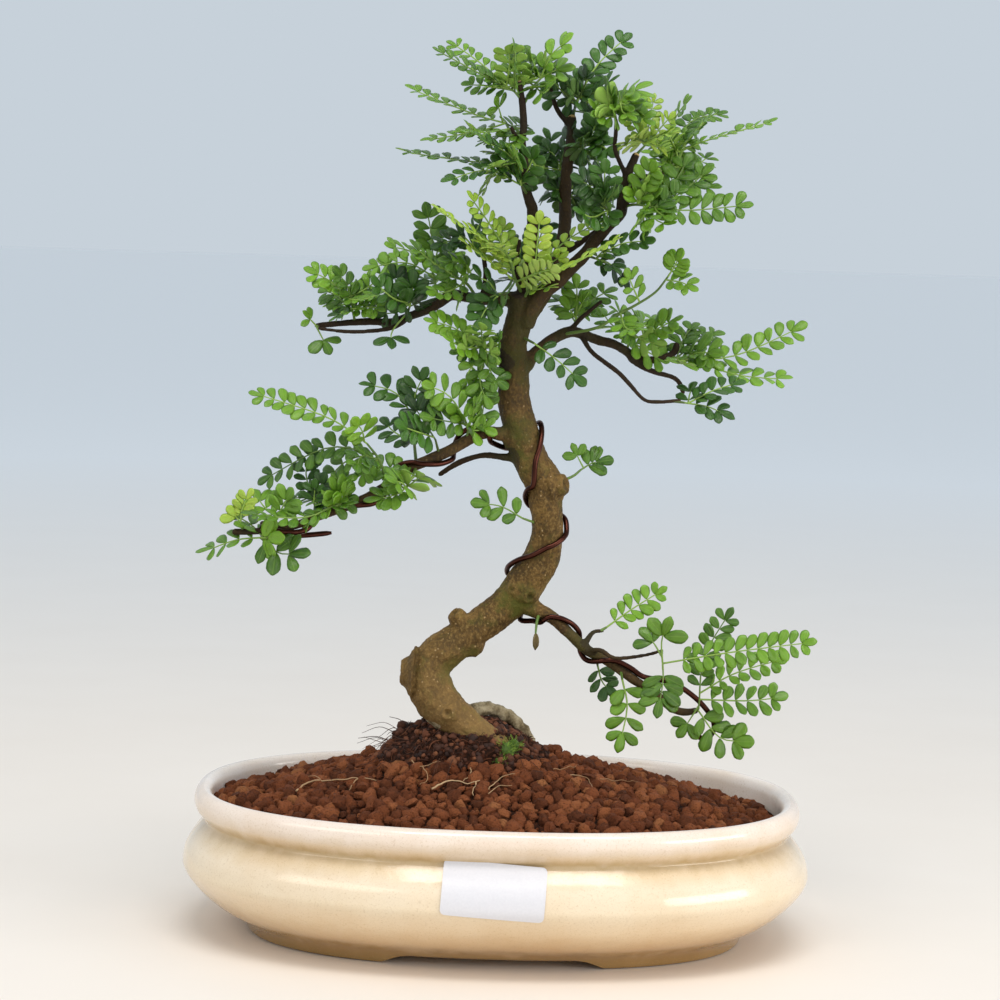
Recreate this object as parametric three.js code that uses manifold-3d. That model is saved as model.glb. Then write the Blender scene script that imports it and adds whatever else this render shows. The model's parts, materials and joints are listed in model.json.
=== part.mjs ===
// Japanese pepper bonsai in its oval glazed pot.
// Millimetres, +Z up, origin on the ground at the middle of the pot's foot, front at -Y.
import * as THREE from 'three';
import { mergeVertices } from 'three/addons/utils/BufferGeometryUtils.js';
import Module from 'manifold-3d';

const wasm = await Module();
wasm.setup();

// Driving dimensions of the pot
const BELLY = 161.5; // half length at the belly, the widest part
const OVAL = 45.5; // half length less half depth, the same at every height
const SQUARENESS = 2.35; // exponent of the superellipse that the pot is in plan
const FOOT_OUT = 127.2;
const FOOT_RING = 11;
const FOOT_HEIGHT = 5;
const FLOOR_TOP = 11;
const ARCH_HALF = 50; // half width of the arch cut in the foot's front and back
const ARCH_SPLAY = 4; // how far its sloping ends run out below and in above
const DRAIN_RADIUS = 9;
const DRAIN_X = 62;
const POT_SIDES = 30;

// Driving dimensions of what fills it
const SEAT_GAP = 0.3; // clearance left between pieces that touch
const SOIL_EDGE = 62.6;
const SOIL_MOUND = 27.5;
const SOIL_TOP_X = -8; // where the mound is highest
const SOIL_REACH = [142, 98]; // half length and half depth of the mound
const GRANULE = 1.7; // relief of the clay granules, up and down
const SCREEN_SIZE = 27;
const SCREEN_THICK = 1.2;

// Driving dimensions of the label, wire and leaves
const LABEL = { length: 50, height: 25, depth: 40, thick: 0.6, middle: [-0.5, 45.6], tilt: 3.4 };
const WIRE_RADIUS = 1.4;
const WIRE_CLEARANCE = 0.72; // from the bark to the wire
const BLADE_HALF = 0.4; // half thickness of a leaf
const RIB_HALF = 0.6;
const LEAFLET_WIDTH = 0.62; // as a share of its length
const LEAFLET_RISE = 0.1; // how far a leaflet tilts up from its frond, as a share of its length
const LEAFLET_ANGLE = 62;
const END_SHARE = 0.95; // length of a frond's end leaflet, as a share of the others
const LEAFLET_BASE = 1.5; // length of rib that a leaflet grows from

// The tree is laid out as it is seen from the front, at this eye point: a place is given by its
// x and z on the tree's middle plane, and by how far behind (+) or before (-) that plane it lies.
const EYE = new THREE.Vector3(-3.3, -1400, 353.6);
const SIGHT_SHIFT = -1.3; // the pot's middle in those readings
const GROUND = 4.4; // the ground's height in those readings

function seen(x, z, y = 0) {
  const onPlane = new THREE.Vector3(x + SIGHT_SHIFT, 0, z - GROUND);
  return onPlane.sub(EYE).multiplyScalar((y - EYE.y) / -EYE.y).add(EYE);
}

const finishes = {
  glaze: { color: '#e6dcc0', roughness: 0.22, metalness: 0 },
  paper: { color: '#f4f5f6', roughness: 0.5, metalness: 0 },
  clay: { color: '#7a3d26', roughness: 0.95, metalness: 0 },
  peat: { color: '#3a2218', roughness: 1, metalness: 0 },
  bark: { color: '#7a6a45', roughness: 0.85, metalness: 0 },
  wire: { color: '#5a3028', roughness: 0.3, metalness: 1 },
  screen: { color: '#23262a', roughness: 0.7, metalness: 0 },
  leaf_dark: { color: '#2f5a26', roughness: 0.4, metalness: 0 },
  leaf_mid: { color: '#4c8430', roughness: 0.4, metalness: 0 },
  leaf_young: { color: '#9cc046', roughness: 0.45, metalness: 0 },
  leaf_dry: { color: '#8b7a44', roughness: 0.8, metalness: 0 },
};

const bonsai = new THREE.Group();

function add(name, geometry, finish) {
  const mesh = new THREE.Mesh(geometry, new THREE.MeshStandardMaterial(finishes[finish]));
  mesh.name = name;
  bonsai.add(mesh);
}

// Solids for cutting and joining

function solidOf(geometry) {
  const bare = geometry.clone();
  bare.deleteAttribute('normal');
  bare.deleteAttribute('uv');
  const merged = mergeVertices(bare, 1e-4);
  return new wasm.Manifold(new wasm.Mesh({
    numProp: 3,
    vertProperties: new Float32Array(merged.attributes.position.array),
    triVerts: new Uint32Array(merged.index.array),
  }));
}

function geometryOf(solid) {
  const { vertProperties, triVerts } = solid.getMesh();
  const geometry = new THREE.BufferGeometry();
  geometry.setAttribute('position', new THREE.BufferAttribute(vertProperties, 3));
  geometry.setIndex(new THREE.BufferAttribute(triVerts, 1));
  return geometry;
}

function joined(solids) {
  return solids.reduce((whole, part) => whole.add(part));
}

function largestPiece(solid) {
  const pieces = solid.decompose();
  return pieces.reduce((best, piece) => (piece.volume() > best.volume() ? piece : best));
}

// A closed skin over rings of points that run anticlockwise about the way the rings go.
function loft(rings) {
  const sides = rings[0].length;
  const points = rings.flat();
  const faces = [];
  for (let ring = 0; ring + 1 < rings.length; ring += 1) {
    for (let side = 0; side < sides; side += 1) {
      const a = ring * sides + side;
      const b = ring * sides + ((side + 1) % sides);
      faces.push(a, b, b + sides, a, b + sides, a + sides);
    }
  }
  const lastRing = (rings.length - 1) * sides;
  const bottom = points.push(middleOf(rings[0])) - 1;
  const top = points.push(middleOf(rings.at(-1))) - 1;
  for (let side = 0; side < sides; side += 1) {
    const next = (side + 1) % sides;
    faces.push(bottom, next, side, top, lastRing + side, lastRing + next);
  }
  return new THREE.BufferGeometry().setFromPoints(points).setIndex(faces);
}

function middleOf(ring) {
  const sum = ring.reduce((total, point) => total.add(point), new THREE.Vector3());
  return sum.divideScalar(ring.length);
}

// One horizontal oval of the pot, by its half length.
function oval(halfLength, z, grow = 0, sides = POT_SIDES) {
  const ring = [];
  for (let side = 0; side < sides; side += 1) {
    ring.push(ovalPoint(halfLength + grow, (side / sides) * 2 * Math.PI, z));
  }
  return ring;
}

function ovalPoint(halfLength, angle, z) {
  const power = 2 / SQUARENESS;
  const c = Math.cos(angle);
  const s = Math.sin(angle);
  const x = halfLength * Math.sign(c) * Math.abs(c) ** power;
  const y = (halfLength - OVAL) * Math.sign(s) * Math.abs(s) ** power;
  return new THREE.Vector3(x, y, z);
}

// Pot: the wall is one skin, up the outside, over the lip and down the inside to the floor.
const POT_OUTSIDE = [
  [FOOT_OUT, 0], [128.6, 4], [135, 9.2], [144, 14.6], [154, 23.6], [BELLY - 1.2, 30], [BELLY, 35.6],
  [159.6, 44.1], [154.5, 52.1], [150.4, 56.2], [154.6, 62.1], [155.4, 69.6],
];
const POT_INSIDE = [[151.4, 73.6], [147, 70.6], [146, 55.6], [150, 37.6], [141.5, 20.6], [126, FLOOR_TOP]];

function buildPot() {
  const rings = [...POT_OUTSIDE, ...POT_INSIDE].map(([half, z]) => oval(half, z));
  let pot = solidOf(loft(rings));
  const recess = [oval(FOOT_OUT - FOOT_RING, -1), oval(FOOT_OUT - FOOT_RING - 2, FOOT_HEIGHT)];
  pot = pot.subtract(solidOf(loft(recess)));
  pot = pot.subtract(solidOf(footArch()));
  for (const side of [-1, 1]) {
    const hole = new THREE.CylinderGeometry(DRAIN_RADIUS, DRAIN_RADIUS, 2 * FLOOR_TOP, 16);
    hole.rotateX(Math.PI / 2).translate(side * DRAIN_X, 0, FLOOR_TOP);
    pot = pot.subtract(solidOf(hole));
  }
  add('pot', geometryOf(pot), 'glaze');
}

// The arch under the front and back: a long low slot with sloping ends.
function footArch() {
  const shape = new THREE.Shape();
  const bottom = ARCH_HALF + ARCH_SPLAY;
  const top = ARCH_HALF - 1.5 * ARCH_SPLAY;
  shape.moveTo(-bottom, -1);
  shape.lineTo(-top, FOOT_HEIGHT);
  shape.lineTo(top, FOOT_HEIGHT);
  shape.lineTo(bottom, -1);
  const slot = new THREE.ExtrudeGeometry(shape, { depth: 2 * FOOT_OUT, bevelEnabled: false });
  return slot.rotateX(Math.PI / 2).translate(0, FOOT_OUT, 0);
}

// Label: a thin sticker cut from a skin that follows the front of the belly.
function buildLabel() {
  const skin = (out) => solidOf(loft(POT_OUTSIDE.map(([half, z]) => oval(half, z, out))));
  const cutter = new THREE.BoxGeometry(LABEL.length, LABEL.depth, LABEL.height);
  const [middleX, middleZ] = LABEL.middle;
  cutter.rotateY(THREE.MathUtils.degToRad(LABEL.tilt)).translate(middleX, OVAL - BELLY, middleZ);
  const label = solidOf(cutter).intersect(skin(SEAT_GAP + LABEL.thick)).subtract(skin(SEAT_GAP));
  add('label', geometryOf(label), 'paper');
}

// Drain screens: a square of plastic mesh over each hole, under the soil.
function buildScreens() {
  const cells = 2;
  const bar = 2.6;
  const hole = (SCREEN_SIZE - bar * (cells + 1)) / cells;
  for (const [name, side] of [['drain_screen_left', -1], ['drain_screen_right', 1]]) {
    const height = FLOOR_TOP + SEAT_GAP + SCREEN_THICK / 2;
    const square = new THREE.BoxGeometry(SCREEN_SIZE, SCREEN_SIZE, SCREEN_THICK);
    let sheet = solidOf(square.translate(side * DRAIN_X, 0, height));
    for (let column = 0; column < cells; column += 1) {
      for (let row = 0; row < cells; row += 1) {
        const x = side * DRAIN_X + (column - (cells - 1) / 2) * (hole + bar);
        const y = (row - (cells - 1) / 2) * (hole + bar);
        const opening = new THREE.BoxGeometry(hole, hole, 3 * SCREEN_THICK).translate(x, y, height);
        sheet = sheet.subtract(solidOf(opening));
      }
    }
    add(name, geometryOf(sheet), 'screen');
  }
}

// Soil and root ball

// Lumpy relief, the same for the same place.
function lumps(x, y, size, height) {
  const wave = Math.sin(x / size + 1.9 * Math.sin(y / size)) + Math.sin(y / size - 1.3 * Math.cos(x / size));
  return 0.5 * height * wave;
}

function soilHeight(x, y) {
  const across = Math.min(1, Math.hypot((x - SOIL_TOP_X) / SOIL_REACH[0], y / SOIL_REACH[1]));
  return SOIL_EDGE + SOIL_MOUND * (1 - across ** 1.9) + lumps(x, y, 3.1, GRANULE);
}

function soilSolid() {
  const inside = [...POT_INSIDE].reverse().slice(0, -2);
  const rings = inside.map(([half, z]) => oval(half, z + (z === FLOOR_TOP ? SEAT_GAP : 0), -0.5));
  const shares = [1, 0.94, 0.84, 0.73, 0.62, 0.5, 0.38, 0.24];
  const halfLength = 145.4;
  for (const share of shares) {
    const ring = oval(halfLength, 0).map((point) => {
      const x = point.x * share;
      const y = point.y * share;
      return new THREE.Vector3(x, y, share === 1 ? SOIL_EDGE - 1 : soilHeight(x, y));
    });
    rings.push(ring);
  }
  return solidOf(loft(rings));
}

// The root ball: height, half length, half depth.
const ROOT_BALL_MIDDLE = [-17, 4];
const ROOT_BALL = [
  [18, 40, 32], [46, 47, 38], [75, 48, 38], [87, 44, 36], [96, 37, 31], [103, 28, 24], [108, 17, 15],
];

function rootBallSolid(grow) {
  const sides = 16;
  const rings = ROOT_BALL.map(([z, halfLength, halfDepth]) => {
    const ring = [];
    for (let side = 0; side < sides; side += 1) {
      const angle = (side / sides) * 2 * Math.PI;
      const swell = 1 + 0.05 * Math.sin(3 * angle + z / 9) + 0.04 * Math.sin(7 * angle - z / 5);
      const x = ROOT_BALL_MIDDLE[0] + (halfLength * swell + grow) * Math.cos(angle);
      const y = ROOT_BALL_MIDDLE[1] + (halfDepth * swell + grow) * Math.sin(angle);
      ring.push(new THREE.Vector3(x, y, z + (z === ROOT_BALL[0][0] ? -grow : grow / 2)));
    }
    return ring;
  });
  return solidOf(loft(rings));
}

function buildSoil() {
  let soil = soilSolid().subtract(rootBallSolid(SEAT_GAP));
  for (const side of [-1, 1]) {
    const pocketSize = SCREEN_SIZE + 2 * SEAT_GAP;
    const pocket = new THREE.BoxGeometry(pocketSize, pocketSize, 2 * (SCREEN_THICK + 3 * SEAT_GAP));
    pocket.translate(side * DRAIN_X, 0, FLOOR_TOP);
    soil = soil.subtract(solidOf(pocket));
  }
  add('soil', geometryOf(largestPiece(soil)), 'clay');
  add('root_ball', geometryOf(largestPiece(rootBallSolid(0).subtract(footClearance))), 'peat');
}

// Wood: each limb is a path of [x, z, y, radius] as seen from the front.
const TRUNK = [
  [8, 95, -14, 6.2], [-2, 101, -13, 7.3], [-10, 106.5, -11, 8.4], [-19, 112, -9, 9.6], [-26, 117.5, -8, 10.8],
  [-32, 124, -7, 11.3], [-35.2, 131, -6, 11.3], [-36, 137.5, -5, 10.7], [-33.8, 143.5, -4, 10.3],
  [-28.4, 149.3, -3, 10.3], [-18.4, 156, -1, 9.4], [-8, 165, 1, 9], [1.7, 172.5, 2, 9], [9, 180, 2, 9.8],
  [13.5, 188, 1, 10], [18, 195, 0, 9.8], [21, 203, -1, 8.7], [22.5, 211, -2, 8.2], [23, 219, -3, 8],
  [21.5, 229, -3, 8.5], [20, 238, -2, 9.3], [13.5, 248, -1, 9.3], [10, 258, 0, 9], [6.6, 268, 1, 8.6],
  [3.8, 279, 2, 8], [3, 289, 3, 7.8], [2.4, 299, 3, 7.5], [2.3, 309, 3, 7.3], [4.5, 319, 3, 7.4],
  [6.5, 333, 3, 7],
];
const RIGHT_LOW = [
  [8, 177, 1, 5.5], [18, 172, -2, 4.4], [27, 168, -4, 3.3], [36, 160, -6, 2.8], [45, 152, -8, 2.7],
  [55, 147, -10, 2.6], [63, 142, -11, 2.5], [70, 137, -12, 2.4], [80, 131, -13, 2.3], [90, 123, -14, 2],
  [97, 121, -15, 1.8], [103, 122, -16, 1.5],
];
const LEFT_LOW = [
  [6, 262, 0, 4.4], [-2, 262, -2, 3.6], [-10, 262.5, -4, 3.1], [-17, 260, -6, 3], [-24, 255.5, -8, 3],
  [-30, 252, -10, 3], [-38, 248, -12, 2.9], [-48, 243.5, -14, 2.7], [-58, 235.5, -16, 2.6],
  [-68, 228.5, -18, 2.5], [-78, 223.5, -20, 2.4], [-88, 219.5, -21, 2.3], [-97, 216, -22, 2.1],
  [-106, 212, -23, 2], [-118, 209.5, -24, 1.8], [-128, 208, -24, 1.7], [-138, 207.5, -24, 1.6],
];
const LEFT_UPPER = [
  [4, 331, 3, 4.5], [-8, 331, 6, 3.4], [-17, 330.8, 9, 3], [-24, 331.8, 12, 2.8], [-30.5, 332.4, 14, 2.9],
  [-35, 329, 15, 2.7], [-41, 325, 17, 2.5], [-50.6, 321, 19, 2.2], [-60, 317.5, 21, 2.1],
  [-70, 317.6, 23, 1.9], [-82, 316.6, 25, 1.7], [-97.4, 314.7, 27, 1.4],
];
const RIGHT_MID = [
  [4, 296, 3, 4.8], [9, 298, 5, 4], [12, 302, 7, 3.4], [18, 308, 10, 3], [25, 313, 12, 2.9],
  [32, 315.5, 14, 2.8], [39, 314, 16, 2.6], [46, 311.5, 18, 2.5], [53, 310, 19, 2.4],
  [60, 306.5, 20, 2.3], [65, 303, 21, 2.1], [75, 302.5, 23, 1.8], [84, 306, 24, 1.7], [86, 311, 24, 1.6],
];
const LEFT_LEADER = [
  [6, 326, 3, 4], [10, 350, 0, 3.2], [10, 375, -6, 2.8], [8.7, 380, -8, 2.6], [6, 389, -9, 2.3],
  [4.7, 403, -11, 2.1], [3.5, 411, -12, 2], [4.2, 419, -13, 1.9], [2.9, 432, -14, 1.7],
  [1, 441, -15, 1.5],
];
const CENTRE_LEADER = [
  [9, 322, 4, 5], [20, 340, 9, 4], [25, 356, 12, 3.6], [26.7, 371, 14, 3.4], [26.2, 385, 16, 3.2],
  [26.8, 399, 18, 3], [28.2, 413, 19, 2.6], [28.8, 424, 20, 2.2],
];
const RIGHT_LEADER = [
  [8, 318, 0, 5], [14, 332, -3, 4], [24, 341, -5, 3.6], [29.5, 347, -6, 3.5], [37, 355, -7, 3.4],
  [42, 362, -8, 3.3], [48.6, 370, -8, 3.2], [55, 377, -8, 3], [55.6, 388, -8, 2.7], [58, 396.5, -8, 2.4],
  [61.6, 406, -8, 2],
];
const TWIGS = [
  [
    [4, 250, 0, 2.3], [-3, 250.5, 2, 1.6], [-10, 251, 4, 1.5], [-17, 249.5, 6, 1.4], [-25, 246, 8, 1.5],
    [-33, 240.5, 10, 1.2],
  ],
  [[44, 155, -8, 1.6], [48, 161, -2, 1.2], [53, 162, 2, 0.9]],
  [
    [45, 151, -8, 1.4], [52, 152, -15, 1.2], [60, 148, -21, 1], [75, 150, -24, 0.9],
    [83.7, 152.6, -26, 0.9],
  ],
  [[-14, 332, 8, 1.4], [-13, 343, 3, 1.2], [-14, 352, 0, 1.2], [-15, 362, -2, 1.1]],
  [[5, 336, 1, 1.6], [3, 345, -8, 1.2], [3, 354, -11, 1.1], [4, 361, -13, 1]],
  [[4, 411, -12, 1.2], [0, 414, -15, 1.1], [-2, 418, -17, 1]],
  [[27, 420, 20, 1.4], [20.7, 428, 19, 1.2], [17.2, 438, 18, 1]],
  [[55, 378, -8, 1.9], [59.5, 386, -14, 1.6], [63, 397, -17, 1.4]],
  [[56, 390, -8, 1.7], [65, 395, 0, 1.5], [73, 395, 6, 1.3], [78, 400, 9, 1.2]],
  [[57, 395, -8, 1.4], [51, 408, -15, 1.2], [51, 416, -18, 1.1], [51, 423, -20, 1]],
  [[29, 357, 12, 1.9], [39, 364, 3, 1.5], [50, 372, -8, 1.6]],
  [
    [62, 303, 20, 1.6], [68, 299, 22, 1.4], [76, 296, 25, 1.3], [84, 294, 27, 1.2], [88, 291, 28, 1.2],
    [90, 286, 28, 1.1],
  ],
  [
    [37, 314, 15, 1.6], [42, 306, 9, 1.2], [50, 300, 5, 1.2], [57, 295, 2, 1.1], [63, 289, 0, 1.1],
    [70, 282, -2, 1], [77, 281, -3, 1], [88, 282, -4, 1],
  ],
  [[31, 316, 14, 1.4], [37, 323, 9, 1.1], [46, 331, 6, 1]],
  [[2, 299, 3, 2.3], [-6, 299, 0, 1.5], [-10, 299, -2, 1.2]],
  [[-54, 318, 20, 1.5], [-62, 314, 14, 1.1], [-80, 312, 15, 1], [-96, 313, 17, 0.9]],
];
// The pale root that arches over the root ball behind the trunk, and two that run down inside it.
const ROOTS = [
  [
    [-27, 112, -6, 5], [-21, 114.5, 4, 4.2], [-12, 118.5, 9, 3.4], [-2, 119, 11, 3.1], [8, 114, 11, 3],
    [16, 106, 10, 2.9], [20, 96, 9, 2.6], [21, 84, 8, 2.2],
  ],
  [[-6, 103, -12, 6], [6, 90, -14, 4.5], [10, 72, -13, 3.2], [8, 56, -10, 2.2]],
  [[-22, 114, -8, 7.5], [-30, 96, -4, 5.5], [-36, 76, 2, 3.8], [-34, 56, 6, 2.4]],
];

const trunk = limbOf(TRUNK, 8, 32);
const rightLow = limbOf(RIGHT_LOW, 6, 12);
const leftLow = limbOf(LEFT_LOW, 6, 16);
const twigs = TWIGS.map((path) => limbOf(path, 4, Math.ceil(0.65 * path.length)));
const limbs = [
  trunk, rightLow, leftLow, limbOf(LEFT_UPPER, 5, 9), limbOf(RIGHT_MID, 5, 11), limbOf(LEFT_LEADER, 5, 6),
  limbOf(CENTRE_LEADER, 5, 5), limbOf(RIGHT_LEADER, 5, 7), ...twigs,
];
const roots = ROOTS.map((path) => limbOf(path, 5, path.length - 1));

function smoothPath(points) {
  return new THREE.CatmullRomCurve3(points, false, 'catmullrom', 0.5);
}

function limbOf(path, sides, steps) {
  const points = path.map(([x, z, y]) => seen(x, z, y));
  return { path, curve: smoothPath(points), sides, steps };
}

// Centre, radius and crosswise directions at a station counted in path points.
function stationOf(limb, station) {
  const last = limb.path.length - 1;
  const share = Math.min(Math.max(station / last, 0), 1);
  const before = Math.min(Math.floor(station), last - 1);
  const radius = THREE.MathUtils.lerp(limb.path[before][3], limb.path[before + 1][3], station - before);
  const along = limb.curve.getTangent(share);
  const front = new THREE.Vector3(0, -1, 0).addScaledVector(along, along.y).normalize();
  const side = new THREE.Vector3().crossVectors(along, front);
  return { centre: limb.curve.getPoint(share), radius, front, side };
}

function limbPoint(limb, station, angle, out) {
  const { centre, radius, front, side } = stationOf(limb, station);
  const reach = radius + out;
  centre.addScaledVector(front, reach * Math.cos(angle));
  return centre.addScaledVector(side, reach * Math.sin(angle));
}

function limbSolid(limb, grow = 0) {
  const rings = [];
  for (let step = 0; step <= limb.steps; step += 1) {
    const station = (step / limb.steps) * (limb.path.length - 1);
    const ring = [];
    for (let side = 0; side < limb.sides; side += 1) {
      ring.push(limbPoint(limb, station, (side / limb.sides) * 2 * Math.PI, grow));
    }
    rings.push(ring);
  }
  return solidOf(loft(rings));
}

// How deep a knot starts inside the trunk, as a share of the trunk's radius
const KNOT_ROOT = 0.6;
// Knots, scars and cut stubs on the trunk: station, angle from the front, reach, base and end radius.
const KNOTS = [
  [3.9, 5, 1.6, 5, 3.6], [6.9, 270, 3.4, 9, 6], [10.1, 85, 1.8, 5, 3], [10.3, 285, 5, 5.4, 4.2],
  [13.4, 25, 1.8, 5.5, 3.6], [13.2, 335, 1.4, 3.4, 2.4], [19.7, 66, 2.6, 6.2, 5], [22.3, 275, 1.6, 5, 3.4],
];

function knotSolid([station, degrees, reach, base, end], grow = 0) {
  const angle = THREE.MathUtils.degToRad(degrees);
  const { radius } = stationOf(trunk, station);
  const start = limbPoint(trunk, station, angle, -KNOT_ROOT * radius);
  const finish = limbPoint(trunk, station, angle, reach + grow);
  const stub = new THREE.CylinderGeometry(end + grow, base + grow, start.distanceTo(finish), 5);
  const turn = new THREE.Quaternion().setFromUnitVectors(
    new THREE.Vector3(0, 1, 0),
    finish.clone().sub(start).normalize(),
  );
  const middle = start.add(finish).multiplyScalar(0.5);
  return solidOf(stub.applyQuaternion(turn).translate(middle.x, middle.y, middle.z));
}

function woodSolid(grow) {
  const parts = [...limbs, ...roots].map((limb) => limbSolid(limb, grow));
  return joined([...parts, ...KNOTS.map((knot) => knotSolid(knot, grow))]);
}

const footClearance = joined([trunk, ...roots].map((limb) => limbSolid(limb, SEAT_GAP)));

// Training wire: one length, from the right low branch, round behind the trunk, up it and out along
// the left low branch. Each turn is a station on the limb and an angle: 0 in front, 90 on its right
// or, on a branch, below (right low) and above (left low).
const WIRE_END_HOOK = [
  [101, 112, -10], [104, 109, -10], [107, 107.2, -11], [110.5, 109, -12], [112.4, 113.5, -14],
  [110.7, 119, -15], [105, 126, -16], [97.5, 132, -17], [91, 135.4, -18], [84, 137.4, -18],
];
const WIRE_ON_RIGHT_LOW = [
  [7.3, -440], [6.4, -430], [5.5, -400], [5, -360], [4.5, -310], [4.1, -260], [3.6, -190], [3.2, -120],
  [2.6, -60], [1.9, 0], [1.5, 60], [1.1, 100],
];
const WIRE_ON_TRUNK = [
  [12.2, 105], [13, 180], [13.6, 240], [14.2, 282], [15, 304], [15.7, 333], [16.4, 362], [16.9, 403],
  [17.4, 445], [17.9, 475], [18.4, 540], [18.8, 600], [19.2, 630], [19.7, 665], [20.1, 694], [20.9, 731],
  [21.6, 758], [22.2, 785], [22.7, 815], [22.8, 890], [22.4, 945], [22, 960],
];
const WIRE_ON_LEFT_LOW = [
  [1.5, -80], [1.9, -40], [2.1, 10], [2.5, 60], [3.5, 110], [4.2, 180], [4.9, 260], [5.6, 300],
  [6.6, 360], [7.2, 420], [7.7, 480], [8.2, 540], [8.7, 620], [9.6, 690], [10.4, 735], [11.2, 810],
  [11.9, 900], [12.6, 980], [13.3, 1030], [13.9, 1070], [14.3, 1120], [14.5, 1180], [14.6, 1300],
];
const WIRE_TAIL = [[-121, 204, -17], [-115, 205.5, -15], [-100, 207, -13], [-88, 208.5, -12]];

function windings(limb, turns) {
  const points = [];
  const step = 40;
  const out = WIRE_RADIUS + WIRE_CLEARANCE;
  for (let turn = 0; turn + 1 < turns.length; turn += 1) {
    const [station, degrees] = turns[turn];
    const [nextStation, nextDegrees] = turns[turn + 1];
    const count = Math.ceil(Math.abs(nextDegrees - degrees) / step);
    for (let part = 0; part < count; part += 1) {
      const at = THREE.MathUtils.lerp(station, nextStation, part / count);
      const angle = THREE.MathUtils.degToRad(THREE.MathUtils.lerp(degrees, nextDegrees, part / count));
      points.push(limbPoint(limb, at, angle, out));
    }
  }
  const [station, degrees] = turns.at(-1);
  return [...points, limbPoint(limb, station, THREE.MathUtils.degToRad(degrees), out)];
}

function wireSolid(radius) {
  const points = [
    ...WIRE_END_HOOK.map(([x, z, y]) => seen(x, z, y)),
    ...windings(rightLow, WIRE_ON_RIGHT_LOW),
    ...windings(trunk, WIRE_ON_TRUNK),
    ...windings(leftLow, WIRE_ON_LEFT_LOW),
    ...WIRE_TAIL.map(([x, z, y]) => seen(x, z, y)),
  ];
  // The wire's rings stand at the route's own points, which lie closest where it turns tightest.
  const route = smoothPath(points);
  route.getPointAt = route.getPoint;
  route.getTangentAt = route.getTangent;
  const section = new THREE.Shape();
  const sides = 5;
  for (let side = 0; side < sides; side += 1) {
    const angle = (side / sides) * 2 * Math.PI;
    const place = [radius * Math.cos(angle), radius * Math.sin(angle)];
    if (side === 0) section.moveTo(...place);
    else section.lineTo(...place);
  }
  const steps = points.length - 1;
  return solidOf(new THREE.ExtrudeGeometry(section, { steps, extrudePath: route, bevelEnabled: false }));
}

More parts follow.
